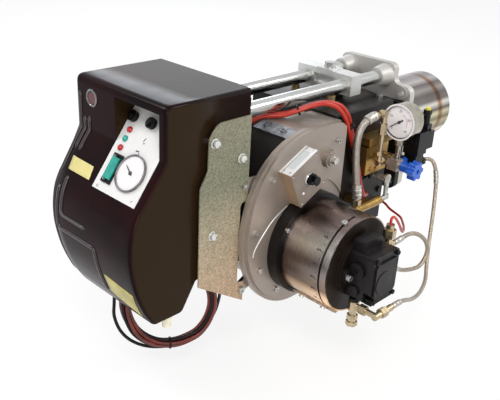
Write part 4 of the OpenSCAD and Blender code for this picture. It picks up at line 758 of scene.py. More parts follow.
# General finishes: the values of general_finish in order, then those given by name
GENERAL = {
    "cast": ("cast_satin", "casting", 0.55, (0.32, 0.46), (0.86, 1.14), 8.0,
             dict(grain=0.22, grain_size=900.0)),
    "flange": ("flange_casting", "flange", 0.4, (0.36, 0.50), (0.84, 1.12), 10.0,
               dict(grain=0.25, grain_size=700.0)),
    "bridge": ("bridge_casting", (0.60, 0.61, 0.60), 0.8, (0.30, 0.46), (0.84, 1.14), 14.0,
               dict(grain=0.18, grain_size=800.0)),
    "gasket": ("gasket_board", (0.74, 0.71, 0.62), 0.0, (0.8, 0.9),
               dict(grain=0.5, grain_size=1500.0)),
    "rail": ("rail_zinc", "zinc", 1.0, (0.12, 0.22), (0.82, 1.1), 16.0, (0.3, 3.0, 3.0),
             dict(grain=0.04, grain_size=400.0, grain_stretch=(0.2, 4, 4))),
    "screw": ("screw_zinc", "zinc", 1.0, (0.20, 0.34), (0.75, 1.1), 160.0,
              dict(grain=0.12, grain_size=1600.0)),
    "stud": ("stud_zinc", (0.66, 0.68, 0.66), 0.8, (0.2, 0.32), (0.85, 1.08), 160.0,
             dict(grain=0.06)),
    "pillar": ("pillar_brass", (0.66, 0.50, 0.26), 0.9, (0.22, 0.34), (0.85, 1.1), 60.0,
               dict(grain=0.1)),
    "casing": ("casing_black", (0.0075, 0.006, 0.0055), 0.0, (0.30, 0.44), (0.7, 1.5), 20.0,
               dict(grain=0.35, grain_size=1400.0, specular=0.18)),
    "collar": ("collar_black", (0.005, 0.004, 0.004), 0.0, (0.28, 0.42), (0.7, 1.4), 30.0,
               dict(grain=0.2, grain_size=900.0, specular=0.18)),
    "disc": ("disc_black", (0.008, 0.0048, 0.003), 0.0, (0.34, 0.5), (0.7, 1.6), 24.0,
             dict(grain=0.25, grain_size=1100.0, specular=0.18)),
    "pump": ("pump_black", (0.0065, 0.0055, 0.006), 0.0, (0.24, 0.40), (0.6, 1.6), 40.0,
             dict(grain=0.35, grain_size=900.0, specular=0.18)),
    # Near-black for the inner panel and the housing's rear; on the housing it is partly black
    # sheet, partly painted shade.
    "inside": ("inner_black", (0.004, 0.003, 0.0025), 0.0, (0.6, 0.8), (0.7, 1.4), 18.0,
               dict(grain=0.3, specular=0.18)),
    "motor": ("motor_enamel", (0.035, 0.038, 0.042), 0.0, (0.34, 0.5), dict(grain=0.2)),
    "box": ("box_satin", (0.25, 0.215, 0.185), 0.35, (0.42, 0.55), (0.84, 1.12), 18.0,
            dict(grain=0.3, grain_size=1500.0)),
    # The lid's pale tone is a painted highlight and the end's brown a painted reflection, on the
    # box's one material.
    "box_lid": ("lid_zinc", (0.78, 0.79, 0.80), 0.2, (0.34, 0.5), (0.92, 1.04), 30.0,
                dict(grain=0.12)),
    "box_end": ("end_satin", (0.30, 0.21, 0.13), 0.3, (0.4, 0.55), (0.84, 1.14), 22.0,
                dict(grain=0.25, grain_size=1500.0)),
    "box_label": ("label_pale_blue", (0.56, 0.62, 0.63), 0.0, (0.35, 0.5), (0.92, 1.05), 60.0,
                  dict(grain=0.08)),
    "brass": ("fitting_brass", (0.50, 0.41, 0.27), 0.9, (0.18, 0.30), (0.7, 1.15), 70.0,
              dict(grain=0.06, grain_size=1400.0)),
    "block": ("block_brass", "brass", 0.9, (0.26, 0.42), (0.7, 1.2), 60.0, dict(grain=0.15)),
    "nickel": ("valve_nickel", (0.40, 0.35, 0.30), 0.6, (0.24, 0.34), (0.72, 1.1), 90.0,
               dict(grain=0.06)),
    "gauge": ("gauge_steel", (0.42, 0.39, 0.33), 1.0, (0.12, 0.2), (0.7, 1.12), 50.0,
              dict(grain=0.04)),
    "chrome": ("rim_chrome", (0.56, 0.56, 0.54), 1.0, (0.06, 0.12), (0.8, 1.05), 120.0,
               dict(grain=0.02)),
    "dark_chrome": ("ring_chrome", (0.22, 0.21, 0.21), 1.0, (0.10, 0.18), (0.6, 1.3), 160.0,
                    dict(grain=0.02)),
    "face": ("dial_face", (0.76, 0.75, 0.77), 0.0, (0.35, 0.45), (0.96, 1.03), 40.0,
             dict(grain=0.05)),
    "panel": ("panel_print", (0.70, 0.71, 0.71), 0.0, (0.34, 0.46), (0.95, 1.05), 18.0,
              dict(grain=0.08)),
    "ink": ("dark_ink", (0.035, 0.035, 0.04), 0.0, (0.5, 0.6), (0.8, 1.3), 300.0,
            dict(grain=0.1)),
    "faint_ink": ("grey_ink", (0.28, 0.27, 0.30), 0.0, (0.5, 0.6), (0.8, 1.2), 300.0,
                  dict(grain=0.1)),
    "red_ink": ("red_ink", (0.40, 0.05, 0.04), 0.0, (0.5, 0.6), (0.8, 1.2), 300.0,
                dict(grain=0.1)),
    "black": ("black_moulding", (0.0045, 0.0043, 0.0045), 0.0, (0.18, 0.3), (0.7, 1.6), 70.0,
              dict(grain=0.12, grain_size=1300.0, specular=0.18)),
    "blue": ("blue_moulding", "knob", 0.0, (0.20, 0.32), (0.8, 1.25), 70.0,
             dict(grain=0.08, grain_size=1300.0)),
    "yellow": ("yellow_cap", (0.62, 0.55, 0.03), 0.0, (0.3, 0.4), dict(grain=0.1)),
    "button": ("button_dark_red", (0.09, 0.012, 0.012), 0.0, (0.12, 0.2), dict(grain=0.05)),
    "pale": ("pale_moulding", (0.66, 0.64, 0.52), 0.0, (0.35, 0.5), dict(grain=0.12)),
    "crimp": ("crimp_zinc", (0.46, 0.44, 0.40), 0.85, (0.24, 0.36), (0.85, 1.1), 60.0,
              dict(grain=0.05)),
    "lead": ("red_sleeve", "lead", 0.0, (0.30, 0.42), (0.8, 1.15), 60.0,
             dict(grain=0.1, grain_size=900.0)),
    "cable": ("black_cable", (0.005, 0.005, 0.005), 0.0, (0.3, 0.45), (0.7, 1.5), 60.0,
              dict(grain=0.15, specular=0.18)),
    "loom": ("loom_sleeve", "loom", 0.0, (0.28, 0.42), (0.6, 1.35), 45.0,
             dict(grain=0.12, grain_size=900.0)),
    # The ribs are the hood's own moulding, made lighter as a painted highlight.
    "rib": ("rib_gloss", (0.024, 0.018, 0.022), 0.0, (0.16, 0.26), (0.8, 1.3), 25.0,
            dict(grain=0.05, specular=0.45)),
    "label": ("pale_label", (0.62, 0.56, 0.22), 0.0, (0.35, 0.5), (0.94, 1.06), 30.0,
              dict(grain=0.1)),
    "low_label": ("low_label", (0.42, 0.38, 0.12), 0.0, (0.35, 0.5), (0.75, 1.3), 22.0,
                  dict(grain=0.1)),
}

# Finishes that have a function of their own
SPECIAL = {
    # The tube's tones by height are painted reflections.
    "tube": (turned_steel_finish, "tube_polish", TUBE_REFLECTION_TONES, 0.0, TUBE_R, 0, TUBE_BANDS,
             (0.14, 0.24), 60.0),
    # The drum's tones by height are painted reflections, and its tones along y are painted shade
    # and highlight.
    "drum": (turned_steel_finish, "drum_steel", DRUM_REFLECTION_TONES, FAN_AXIS[2], DRUM_R, 1, DRUM_HIGHLIGHT_BANDS,
             (0.24, 0.32), 40.0),
    "plain_zinc": (galvanised_finish, "sheet_zinc", (0.46, 0.47, 0.46), 170.0, 1.35),
    "strip": (galvanised_finish, "strip_zinc", (0.22, 0.24, 0.28), 120.0, 1.5),
    "plate": (plate_finish, "plate_spangle", "plate"),
    "hood": (hood_finish, "hood_gloss", "hood"),
    "teal": (lens_finish, "teal_lens", "rocker"),
    "red_lens": (lens_finish, "red_lens", (0.42, 0.010, 0.014)),
    "hose": (braid_finish, "hose_braid", (0.30, 0.28, 0.25), 0.0021),
    "thin_hose": (braid_finish, "thin_hose_braid", (0.34, 0.29, 0.23), 0.0014),
}

FINISHES = {}


def finish(name):
    """The finish of that name, made once."""
    if name not in FINISHES:
        FINISHES[name] = make_finish(name)
    return FINISHES[name]


def make_finish(name):
    """Builds a finish from its row of values."""
    if name in SPECIAL:
        maker, *values = SPECIAL[name]
        return maker(*values)
    *values, named = GENERAL[name]
    return general_finish(*values, **named)


# Hood


def rounded_line(points, radii, steps=6):
    """A polyline in XZ with its corners rounded by quadratic arcs of about those radii."""
    p = np.asarray(points, float)
    out = [p[:1]]
    t = np.linspace(0, 1, steps)[:, None]
    first, last = 0, len(p) - 3
    for k, (before, corner, after, r) in enumerate(zip(p[:-2], p[1:-1], p[2:], radii)):
        a, b = before - corner, after - corner
        la, lb = np.linalg.norm(a), np.linalg.norm(b)
        half = math.acos(max(-1, min(1, float(a @ b / la / lb)))) / 2
        cut = min(r / math.tan(half), la * (0.98 if k == first else 0.49),
                  lb * (0.98 if k == last else 0.49))
        start, end = corner + a / la * cut, corner + b / lb * cut
        out.append((1 - t) ** 2 * start + 2 * t * (1 - t) * corner + t ** 2 * end)
    out.append(p[-1:])
    return np.vstack(out)


def hood_profiles():
    """The hood's outline in XZ from the top rear down the front to the foot.

    Gives the rows above the recess, between it and the panel's foot, and below, each n x 2.
    """
    foot = SLOPE_FOOT[[0, 2]] - PANEL_LENGTH * SLOPE_UP[[0, 2]]
    step = (HOOD_FRONT, HOOD_TOP - TOP_BAND)
    upper = rounded_line([(HOOD_BACK, HOOD_TOP), (HOOD_FRONT, HOOD_TOP), step], [0.0115])
    middle = rounded_line([step, (HOOD_FRONT, KINK_Z), foot], [0.006])
    curve = through(np.vstack([foot[None], FRONT_CURVE]), 5)
    lower = np.vstack([curve[:-1], rounded_line(
        [curve[-1], (-0.6068, HOOD_FOOT), (-0.554, HOOD_FOOT), (-0.528, -0.112),
         (HOOD_BACK, -0.112)], [0.012, 0.012, 0.004], 6)])
    return upper, middle, lower


def setback(y):
    """How far the front stands back at y: the far corner sweeps back along an ellipse."""
    t = np.clip((np.asarray(y, float) - SWEEP_Y) / SWEEP_WIDTH, 0, 1)
    return SWEEP_DEPTH * (1 - np.sqrt(1 - t * t * 0.96))


def drawn_in(line, amount, tilt):
    """The outline moved inwards along its normals by amount, and back by tilt below the kink."""
    t = np.gradient(line, axis=0)
    t /= np.maximum(np.linalg.norm(t, axis=1), 1e-9)[:, None]
    inward = np.stack([-t[:, 1], t[:, 0]], -1)
    below = np.clip((KINK_Z - line[:, 1]) / SWEEP_BLEND, 0, 1)
    k = below * np.clip((-0.555 - line[:, 0]) / 0.03, 0, 1)
    moved = line + inward * amount
    moved[:, 0] += tilt * k
    moved[:, 0] = np.minimum(moved[:, 0], HOOD_BACK)
    return moved


def hood_columns():
    """Columns of the near and the far side: y, draw-in and setback; two share each side's plane."""
    turns = np.linspace(0, np.pi / 2, 8)
    edge = [(HOOD_EDGE * math.sin(q), HOOD_EDGE * (1 - math.cos(q))) for q in turns]
    ring = HOOD_EDGE + 0.001
    inner = HOOD_HALF - HOOD_EDGE
    near = [(-inner - y, d, 0.0) for y, d in edge] + [(-HOOD_HALF, ring, 0.0)]
    sweep = np.linspace(SWEEP_Y, inner, 9)[1:-1]
    far = [(y, 0.0, float(setback(y))) for y in sweep]
    far += [(inner + y, d, float(setback(inner + y))) for y, d in edge]
    far.append((HOOD_HALF, ring, float(setback(HOOD_HALF))))
    return near[::-1], far


def outline_grid(line, columns):
    """The surface x, z = drawn_in(line), y = column, as rows of points over the columns."""
    sheets = []
    for y, amount, tilt in columns:
        p = drawn_in(line, amount, tilt)
        sheets.append(np.stack([p[:, 0], np.full(len(p), y), p[:, 1]], -1))
    return np.stack(sheets, 1)


def hood_mesh():
    """The hood's skin: sheets round the panel, its recess with two walls, and the two sides."""
    upper, middle, lower = hood_profiles()
    outside = np.vstack([upper, middle[1:], lower[1:]])
    n_up, n_mid = len(upper), len(middle)
    near, far = hood_columns()
    gap = 0.0004
    low, high = PANEL_LOW - gap, PANEL_HIGH + gap
    right = near + [(low, 0.0, 0.0)]
    left = [(high, 0.0, 0.0), (SWEEP_Y, 0.0, 0.0)] + far
    top_in = SLOPE_FOOT[[0, 2]] - PANEL_SINK * SLOPE_OUT[[0, 2]]
    reach = (HOOD_TOP - TOP_BAND - top_in[1]) / SLOPE_UP[2]
    back = top_in + reach * SLOPE_UP[[0, 2]]
    low_in = top_in - PANEL_LENGTH * SLOPE_UP[[0, 2]]
    recess = np.vstack([upper[-1:], back[None], top_in[None], low_in[None], middle[-1:]])
    points, faces = [], []

    def placed(new):
        """Adds points, and gives the number of the first of them."""
        points.append(new.reshape(-1, 3))
        return sum(len(p) for p in points[:-1])

    def face_of(ring, turn):
        """Adds a ring of points as one face, turned round if asked."""
        start = placed(ring)
        face = list(range(start, start + len(ring)))
        faces.append(face[::-1] if turn else face)

    span = np.linspace(low, high, 5)
    columns = [(y, 0.0, 0.0) for y in span]
    floor = np.stack([np.stack([recess[:, 0], np.full(len(recess), y), recess[:, 1]], -1)
                      for y in span], 1)
    for grid in (outline_grid(outside, right), outline_grid(outside, left),
                 outline_grid(upper, columns), outline_grid(lower, columns), floor):
        faces.extend(grid_faces(*grid.shape[:2], start=placed(grid)))
    ring = np.vstack([outside[n_up - 1:n_up + n_mid - 1], recess[-2:0:-1]])
    for y in (low, high):
        face_of(np.stack([ring[:, 0], np.full(len(ring), y), ring[:, 1]], -1), y == high)
    for column in (right[0], left[-1]):
        face_of(outline_grid(outside, [column])[:, 0], column[0] < 0)
    return np.vstack(points), faces


def on_front(y, z, lift=0.0):
    """Points on the hood's front at y and z, lifted off it, and the outward direction there.

    The outline gives x for z down to the foot, and the direction is (-1, 0, dx/dz) made unit.
    """
    upper, middle, lower = hood_profiles()
    line = np.vstack([upper[-2:], middle[1:], lower[1:]])
    line = line[:line[:, 1].argmin() + 1]
    line = line[line[:, 1].argsort()]
    z = np.asarray(z, float)
    back = setback(y) * np.clip((KINK_Z - z) / SWEEP_BLEND, 0, 1)
    x = np.interp(z, line[:, 1], line[:, 0])
    step = 0.002
    dx = (np.interp(z + step, line[:, 1], line[:, 0])
          - np.interp(z - step, line[:, 1], line[:, 0])) / (2 * step)
    out = np.stack([-np.ones_like(dx), np.zeros_like(dx), dx], -1)
    out /= np.linalg.norm(out, axis=-1)[..., None]
    return np.stack([x + back, np.broadcast_to(y, x.shape), z], -1) + lift * out, out


def ridge(points_yz, width, height):
    """A rounded rib along a line on the front: a half ellipse carried along it, sunk a little."""
    sunk = 0.0006
    line = rounded_line(np.asarray(points_yz, float), [0.006] * (len(points_yz) - 2), 5)
    s = arc_lengths(line)
    fine = np.linspace(0, s[-1], max(12, int(s[-1] / 0.004)))
    y, z = np.interp(fine, s, line[:, 0]), np.interp(fine, s, line[:, 1])
    base, out = on_front(y, z)
    t = np.gradient(base, axis=0)
    t /= np.linalg.norm(t, axis=1)[:, None]
    across = np.cross(out, t)
    taper = np.clip(np.minimum(fine, fine[-1] - fine) / 0.003, 0, 1) ** 0.5
    a = np.linspace(0, np.pi, 9)
    grid = (base[:, None] + across[:, None] * (np.cos(a) * width / 2)[None, :, None]
            * (0.4 + 0.6 * taper)[:, None, None]
            + out[:, None] * ((np.sin(a) * (height + sunk))[None, :, None]
                              * taper[:, None, None] - sunk))
    return grid.reshape(-1, 3), [f[::-1] for f in grid_faces(len(fine), len(a))]


def front_label(corners, lift):
    """A label that follows the front: a grid between four (y, z) corners in mm, lifted a little."""
    rows, columns = 9, 11
    a, b, c, d = (np.array(q) / 1000 for q in corners)
    u, v = (w[..., None] for w in np.meshgrid(np.linspace(0, 1, rows), np.linspace(0, 1, columns),
                                              indexing="ij"))
    flat = ((1 - v) * ((1 - u) * a + u * b) + v * ((1 - u) * d + u * c)).reshape(-1, 2)
    points, _ = on_front(flat[:, 0], flat[:, 1], lift)
    return points, [f[::-1] for f in grid_faces(rows, columns)]


# Tests: each takes faces' centres and normals and is True for the faces that it names


def slope_place(centres):
    """Coordinates of points on the sloping panel: up the slope, y, and outwards."""
    d = centres - SLOPE_FOOT
    return d @ SLOPE_UP, centres[:, 1], d @ SLOPE_OUT


def rocker_bezel(c, n):
    """The panel's frame round the rocker."""
    u, y, w = slope_place(c)
    return (u > -0.0585) & (u < -0.0135) & (y > -0.0245) & (y < -0.0035) & (w > -0.00005)


def dial_disc(c, n):
    """The dial's face inside its ring."""
    u, y, w = slope_place(c)
    return (np.hypot(u + DIAL_DROP, y - DIAL_Y) < 0.0255) & (w < 0.0025) & (w > 0.0)


def middle_lamp(c, n):
    """The middle one of the three lamps."""
    u, _, _ = slope_place(c)
    return (u > 0.003) & (u < 0.015)


def button_rim(c, n):
    """The outer rim of the reset button."""
    return np.hypot(c[:, 1] - BUTTON_Y, c[:, 2] - BUTTON_Z) > 0.0088


def housing_rear(c, n):
    """The rear of the fan housing's spiral, where it slopes down; its near-black is partly black
    sheet, partly painted shade.
    """
    return (c[:, 0] < -0.345) & (n[:, 2] < 0.955) & (n[:, 2] > 0.2) & (n[:, 0] < -0.1)


def clamp_screw(c, n):
    """The pump's clamp screw, nearer to the drum than the cover's screws."""
    return c[:, 1] > -0.262


def box_lid(c, n):
    """The lid of the switch box, which gets a pale painted highlight."""
    return n @ BOX_UP > 0.8


def box_end(c, n):
    """The end of the switch box that looks to the hood, which gets a brown painted reflection."""
    return n @ BOX_ALONG < -0.8


def plug_cap(c, n):
    """The cap on the coil's plug."""
    return c[:, 2] > 0.0775


def gauge_face(c, n):
    """The gauge's printed face."""
    near = np.hypot(c[:, 1] - GAUGE[1], c[:, 2] - GAUGE[2]) < 0.0275
    return near & (n[:, 0] < -0.9) & (c[:, 0] < GAUGE[0] + 0.0045)


def gauge_wall_shade(c, n):
    """The inner wall round the gauge's face, inked dark as painted shade."""
    r = np.hypot(c[:, 1] - GAUGE[1], c[:, 2] - GAUGE[2])
    return (r < 0.0292) & (np.abs(n[:, 0]) < 0.5) & (c[:, 0] < GAUGE[0] + 0.004)


# Operators


class BURNER_OT_stage(bpy.types.Operator):
    """Makes the camera, the lamps, the pale floor and the world"""

    bl_idname = "burner.stage"
    bl_label = "Camera and stage"
    bl_options = {"REGISTER", "UNDO"}

    def execute(self, context):
        scene = context.scene
        camera = bpy.data.cameras.new("camera")
        camera.sensor_width = SENSOR
        camera.lens = FOCAL_PIXELS * SENSOR / PICTURE_WIDTH
        camera.clip_start, camera.clip_end = 0.05, 60.0
        view = bpy.data.objects.new("camera", camera)
        scene.collection.objects.link(view)
        turn = Matrix((CAMERA_RIGHT, CAMERA_UP, -CAMERA_AHEAD)).transposed()
        view.matrix_world = Matrix.Translation(CAMERA_PLACE) @ turn.to_4x4()
        scene.camera = view
        scene.view_settings.view_transform = "Standard"
        for name, place, aim, size, power, tone in LAMPS:
            light = bpy.data.lights.new(name, "AREA")
            light.size, light.energy, light.color = size, power, tone
            lamp = bpy.data.objects.new(name, light)
            lamp.location = place
            lamp.rotation_euler = (Vector(aim) - Vector(place)).to_track_quat("-Z", "Y").to_euler()
            scene.collection.objects.link(lamp)
        self.world(scene)
        self.floor(scene)
        return {"FINISHED"}

    def world(self, scene):
        """A room that darkens towards its foot, and white to the rays that are seen."""
        world = bpy.data.worlds.new("studio")
        scene.world = world
        world.use_nodes = True
        tree = world.node_tree
        tree.nodes.clear()
        out = tree.nodes.new("ShaderNodeOutputWorld")
        room, white = (tree.nodes.new("ShaderNodeBackground") for _ in range(2))
        white.inputs["Color"].default_value = (1, 1, 1, 1)
        white.inputs["Strength"].default_value = 1.0
        room.inputs["Strength"].default_value = 0.8
        place = tree.nodes.new("ShaderNodeTexCoord")
        tree.links.new(ramp(tree, axes(tree, place.outputs["Generated"])[2], [
            (0.0, (0.22, 0.20, 0.19)), (0.12, (0.16, 0.15, 0.15)), (0.34, (0.55, 0.55, 0.57)),
            (0.7, (1.0, 1.0, 1.02))]), room.inputs["Color"])
        shown_apart(tree, 1.0, room, white, out)

    def floor(self, scene):
        """Pale paper, with a glow for the rays that are seen."""
        mesh = bpy.data.meshes.new("floor")
        corners = ((-1, -1), (1, -1), (1, 1), (-1, 1))
        mesh.from_pydata([(FLOOR_HALF * x, FLOOR_HALF * y, FLOOR_Z) for x, y in corners], [],
                         [(0, 1, 2, 3)])
        floor = bpy.data.objects.new("floor", mesh)
        scene.collection.objects.link(floor)
        material, tree, bsdf, place = shader("floor_paper")
        bsdf.inputs["Roughness"].default_value = 0.9
        bsdf.inputs["Specular IOR Level"].default_value = 0.1
        tree.links.new(ramp(tree, noise(tree, place, 2.0), [
            (0.3, (0.93, 0.93, 0.93)), (0.7, (0.96, 0.96, 0.96))]), bsdf.inputs["Base Color"])
        glow = tree.nodes.new("ShaderNodeEmission")
        glow.inputs["Strength"].default_value = 1.0
        out = next(n for n in tree.nodes if n.type == "OUTPUT_MATERIAL")
        shown_apart(tree, 0.8, bsdf, glow, out)
        mesh.materials.append(material)


def smooth_route(name):
    """The route of a cord in metres as a smooth line."""
    return through(np.array(ROUTES[name]) / 1000, 6)


def at_lengths(path, lengths):
    """The points of a path at those distances along it."""
    s = arc_lengths(path)
    return np.stack([np.interp(lengths, s, path[:, i]) for i in range(3)], -1)


class BURNER_OT_cords(bpy.types.Operator):
    """Makes the braided hoses, the sleeved leads and the cable loom"""

    bl_idname = "burner.cords"
    bl_label = "Hoses and leads"
    bl_options = {"REGISTER", "UNDO"}

    def execute(self, context):
        for name, (radius, coat, stiff) in CORDS.items():
            path = smooth_route(name)
            points, faces, uv = tube_surface(path, radius, 24)
            piece = new_piece(name + "_run", points, faces, coat, name, uv)
            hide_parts(name)
        self.loom()
        self.ties()
        return {"FINISHED"}

    def loom(self):
        """Seven leads wound loosely round each other within the loom's 17 mm."""
        path = smooth_route("loom_red")
        _, n, b = path_frames(path)
        s = arc_lengths(path)
        parts = []
        for k in range(STRANDS):
            middle = k == STRANDS - 1
            off, phase = (0.0, 0.0) if middle else (STRAND_OFF, k * math.pi / 3)
            a = (phase + s * STRAND_TURN)[:, None]
            run = path + off * (np.cos(a) * n + np.sin(a) * b)
            parts.append(tube_surface(run, STRAND_R, 12)[:2])
        points, faces = gathered(parts)
        piece = new_piece("loom_red_run", points, faces, ["loom", "cable"], "loom_red")
        strand = np.arange(len(faces)) // (len(faces) // STRANDS)
        piece.data.polygons.foreach_set("material_index", np.isin(strand, (1, 4)).astype(int))
        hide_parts("loom_red")

    def ties(self):
        """Cable ties: a black band round the loom, and bands that hold the two red leads."""
        edge, skirt, step = 0.0018, 0.0012, 0.0006
        pair = 0.0058
        parts = []
        for name, at, radius in (("loom_red", 0.128, 0.0096), ("red_lead_a", 0.165, None),
                                 ("red_lead_a", 0.285, None)):
            rows = at_lengths(smooth_route(name), at + np.array([-edge, -skirt, skirt, edge]))
            if radius is None:
                other = smooth_route("red_lead_b")
                near = other[np.linalg.norm(other - rows[1], axis=1).argmin()]
                rows = rows + (near - rows[1]) / 2
                radius = np.linalg.norm(near - rows[1]) / 2 + pair
            widths = np.array([radius - step, radius, radius, radius - step])
            parts.append(tube_surface(rows, widths)[:2])
        points, faces = gathered(parts)
        new_piece("cable_ties", points, faces, "cable", "black_lead")


class BURNER_OT_crimps(bpy.types.Operator):
    """Makes the crimped sleeves at the ends of the braided hoses"""

    bl_idname = "burner.crimps"
    bl_label = "Hose crimps"
    bl_options = {"REGISTER", "UNDO"}

    def execute(self, context):
        reach = context.scene.burner_sizes.crimp
        shape = np.array([(0.0, 0.86), (0.04, 1.22), (0.16, 1.30), (0.24, 1.30), (0.27, 1.18),
                          (0.32, 1.18), (0.35, 1.30), (0.55, 1.30), (0.58, 1.18), (0.63, 1.18),
                          (0.66, 1.30), (0.92, 1.30), (0.98, 1.22), (1.0, 0.9)])
        gap = 0.002
        parts = []
        for name, begin in CRIMPS:
            path = smooth_route(name)
            whole = arc_lengths(path)[-1]
            start = whole - reach - gap if begin == 1.0 else gap + begin * whole
            rows = at_lengths(path, start + shape[:, 0] * reach)
            parts.append(tube_surface(rows, shape[:, 1] * CORDS[name][0], 24)[:2])
        points, faces = gathered(parts)
        new_piece("hose_crimps", points, faces, "crimp", "supply_hose", sharp=28)
        return {"FINISHED"}


class BURNER_OT_hood(bpy.types.Operator):
    """Makes the moulded hood with its recess, ribs and plain labels"""

    bl_idname = "burner.hood"
    bl_label = "Hood"
    bl_options = {"REGISTER", "UNDO"}

    def execute(self, context):
        sizes = context.scene.burner_sizes
        points, faces = hood_mesh()
        hood = new_piece("hood_moulding", points, faces, "hood", "hood_shell")
        work = bmesh.new()
        work.from_mesh(hood.data)
        bmesh.ops.remove_doubles(work, verts=work.verts, dist=2e-5)
        bmesh.ops.dissolve_degenerate(work, dist=1e-6, edges=work.edges)
        bmesh.ops.recalc_face_normals(work, faces=work.faces)
        top = max(work.faces, key=lambda f: f.calc_center_median().z)
        if top.normal.z < 0:
            bmesh.ops.reverse_faces(work, faces=work.faces)
        self.pockets(work)
        work.to_mesh(hood.data)
        work.free()
        hood.data.set_sharp_from_angle(angle=math.radians(32))
        wall = hood.modifiers.new("wall", "SOLIDIFY")
        wall.thickness, wall.offset = HOOD_WALL, -1.0
        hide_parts("hood_shell")
        self.ribs(sizes)
        return {"FINISHED"}

    def pockets(self, work):
        """Sinks an upright strip of each side, where the brackets reach, by the wall's depth."""
        rear, front = -0.528, -0.553
        for x in (front, rear):
            sides = [f for f in work.faces if abs(f.normal.y) > 0.999 and len(f.verts) > 20]
            cut = {g for f in sides for g in (f, *f.edges, *f.verts)}
            bmesh.ops.bisect_plane(work, geom=list(cut), plane_co=(x, 0, 0), plane_no=(1, 0, 0))
        strips = [f for f in work.faces if abs(f.normal.y) > 0.999 and f.calc_area() > 0.002
                  and -0.55 < f.calc_center_median().x < -0.53]
        for face in strips:
            inward = -HOOD_WALL if face.normal.y > 0 else HOOD_WALL
            bmesh.ops.inset_region(work, faces=[face], thickness=0.0006)
            for vertex in face.verts:
                vertex.co.y += inward

    def ribs(self, sizes):
        """The moulded ribs down the front, kept in the CAD's box, and the plain labels."""
        ribs = [[(0.0915, 0.142), (0.0915, -0.146)], [(0.0815, 0.107), (0.0815, 0.060)],
                [(0.0705, 0.109), (0.0705, 0.060)],
                [(0.0755, 0.014), (0.0755, -0.052), (-0.0165, -0.052), (-0.0165, -0.128)],
                [(0.0635, 0.030), (0.0635, -0.028), (0.002, -0.028)]]
        points, faces = gathered([ridge(r, sizes.rib_width, sizes.rib_height) for r in ribs])
        points[:, 0] = np.maximum(points[:, 0], CAD_BOX[0][0])
        # The ribs take a lighter tone than the hood: a painted highlight.
        new_piece("hood_ribs", points, faces, "rib", "hood_shell")
        for name, box, coat in (
            ("upper_label", ((76, 52.5), (23, 51.5), (19, 35.5), (72, 36)), "label"),
            ("lower_label", ((-27, -90), (-91, -98), (-86, -145), (-24, -125)), "low_label"),
        ):
            points, faces = front_label(box, 0.0004)
            plate = new_piece(name, points, faces, coat, "hood_shell")
            body = plate.modifiers.new("thickness", "SOLIDIFY")
            body.thickness, body.offset = 0.0003, 0.0


class BURNER_OT_panel(bpy.types.Operator):
    """Dresses the control panel, its dial, rocker, lamps, caps and button"""

    bl_idname = "burner.panel"
    bl_label = "Control panel"
    bl_options = {"REGISTER", "UNDO"}

    def execute(self, context):
        crisp = context.scene.burner_sizes.crisp_edge
        dressed("control_panel", "panel", crisp * 0.6, ("black", rocker_bezel))
        self.dial(crisp)
        dressed("rocker_switch", "teal", crisp)
        dressed("lamp_lenses", "red_lens", 0.0, ("teal", middle_lamp))
        dressed("fuse_caps", "black", 0.0009)
        dressed("reset_button", "button", 0.001, ("chrome", button_rim))
        ring = [(0.0006, 0.0092), (-0.0012, 0.0096), (-0.0021, 0.0106), (-0.0021, 0.0118),
                (-0.0012, 0.0130), (0.0006, 0.0134)]
        points, faces = turned(ring, (HOOD_FRONT, BUTTON_Y, BUTTON_Z), (1, 0, 0))
        new_piece("button_ring", points, faces, "dark_chrome", "fuse_caps")
        self.ticks()
        self.marks()
        return {"FINISHED"}

    def dial(self, crisp):
        """The dial's case, a grey ring of painted shadow round its face, and its pointer."""
        dressed("dial_case", "dark_chrome", crisp, ("face", dial_disc))
        # A grey ring just inside the rim: a painted shadow.
        points, faces = turned([(0.0011, 0.0252), (0.0002, 0.0241), (0.0, 0.0240)],
                               DIAL + 0.00182 * SLOPE_OUT, SLOPE_OUT, 96)
        new_piece("dial_seal", points, faces, "faint_ink", "dial_case")
        pointer("dial_needle", DIAL + 0.0024 * SLOPE_OUT, SLOPE_OUT,
                0.5 * SLOPE_UP + 0.866 * FAR, 0.017, 0.004)

    def ticks(self):
        """The dial's ticks, every third one long."""
        count, sweep = 27, 130
        long = np.arange(count) % 3 == 0
        flat, faces = round_ticks(np.radians(np.linspace(-sweep, sweep, count)),
                                  np.where(long, 0.0218, 0.0226),
                                  np.where(long, 0.0026, 0.0014), 0.0003)
        self.lay(flat, faces, DIAL, 0.00188, "dial_ticks", "faint_ink", "dial_case")

    def marks(self):
        """The small plain symbols beside the lamps and caps."""
        marks = [(0.004, 0.018, 1.2, 0.006, 0.0014), (0.006, 0.013, 0.3, 0.004, 0.0012),
                 (0.002, 0.000, 0.1, 0.007, 0.0018), (0.006, -0.003, 1.9, 0.003, 0.0014),
                 (-0.002, 0.046, 0.3, 0.006, 0.0010), (-0.040, -0.066, 1.57, 0.004, 0.0010),
                 (-0.037, -0.066, 1.57, 0.004, 0.0010), (0.037, -0.064, 0.8, 0.004, 0.0010)]
        self.lay(*bars(marks), SLOPE_FOOT - 0.040 * FAR, 0.00005, "panel_marks", "ink",
                 "control_panel")

    def lay(self, flat, faces, centre, lift, name, coat, node):
        """Lays a flat drawing on the slope: x to the right (-Y), y up the slope."""
        points = centre + lift * SLOPE_OUT - flat[:, :1] * FAR + flat[:, 1:] * SLOPE_UP
        new_piece(name, points, faces, coat, node, smooth=False)


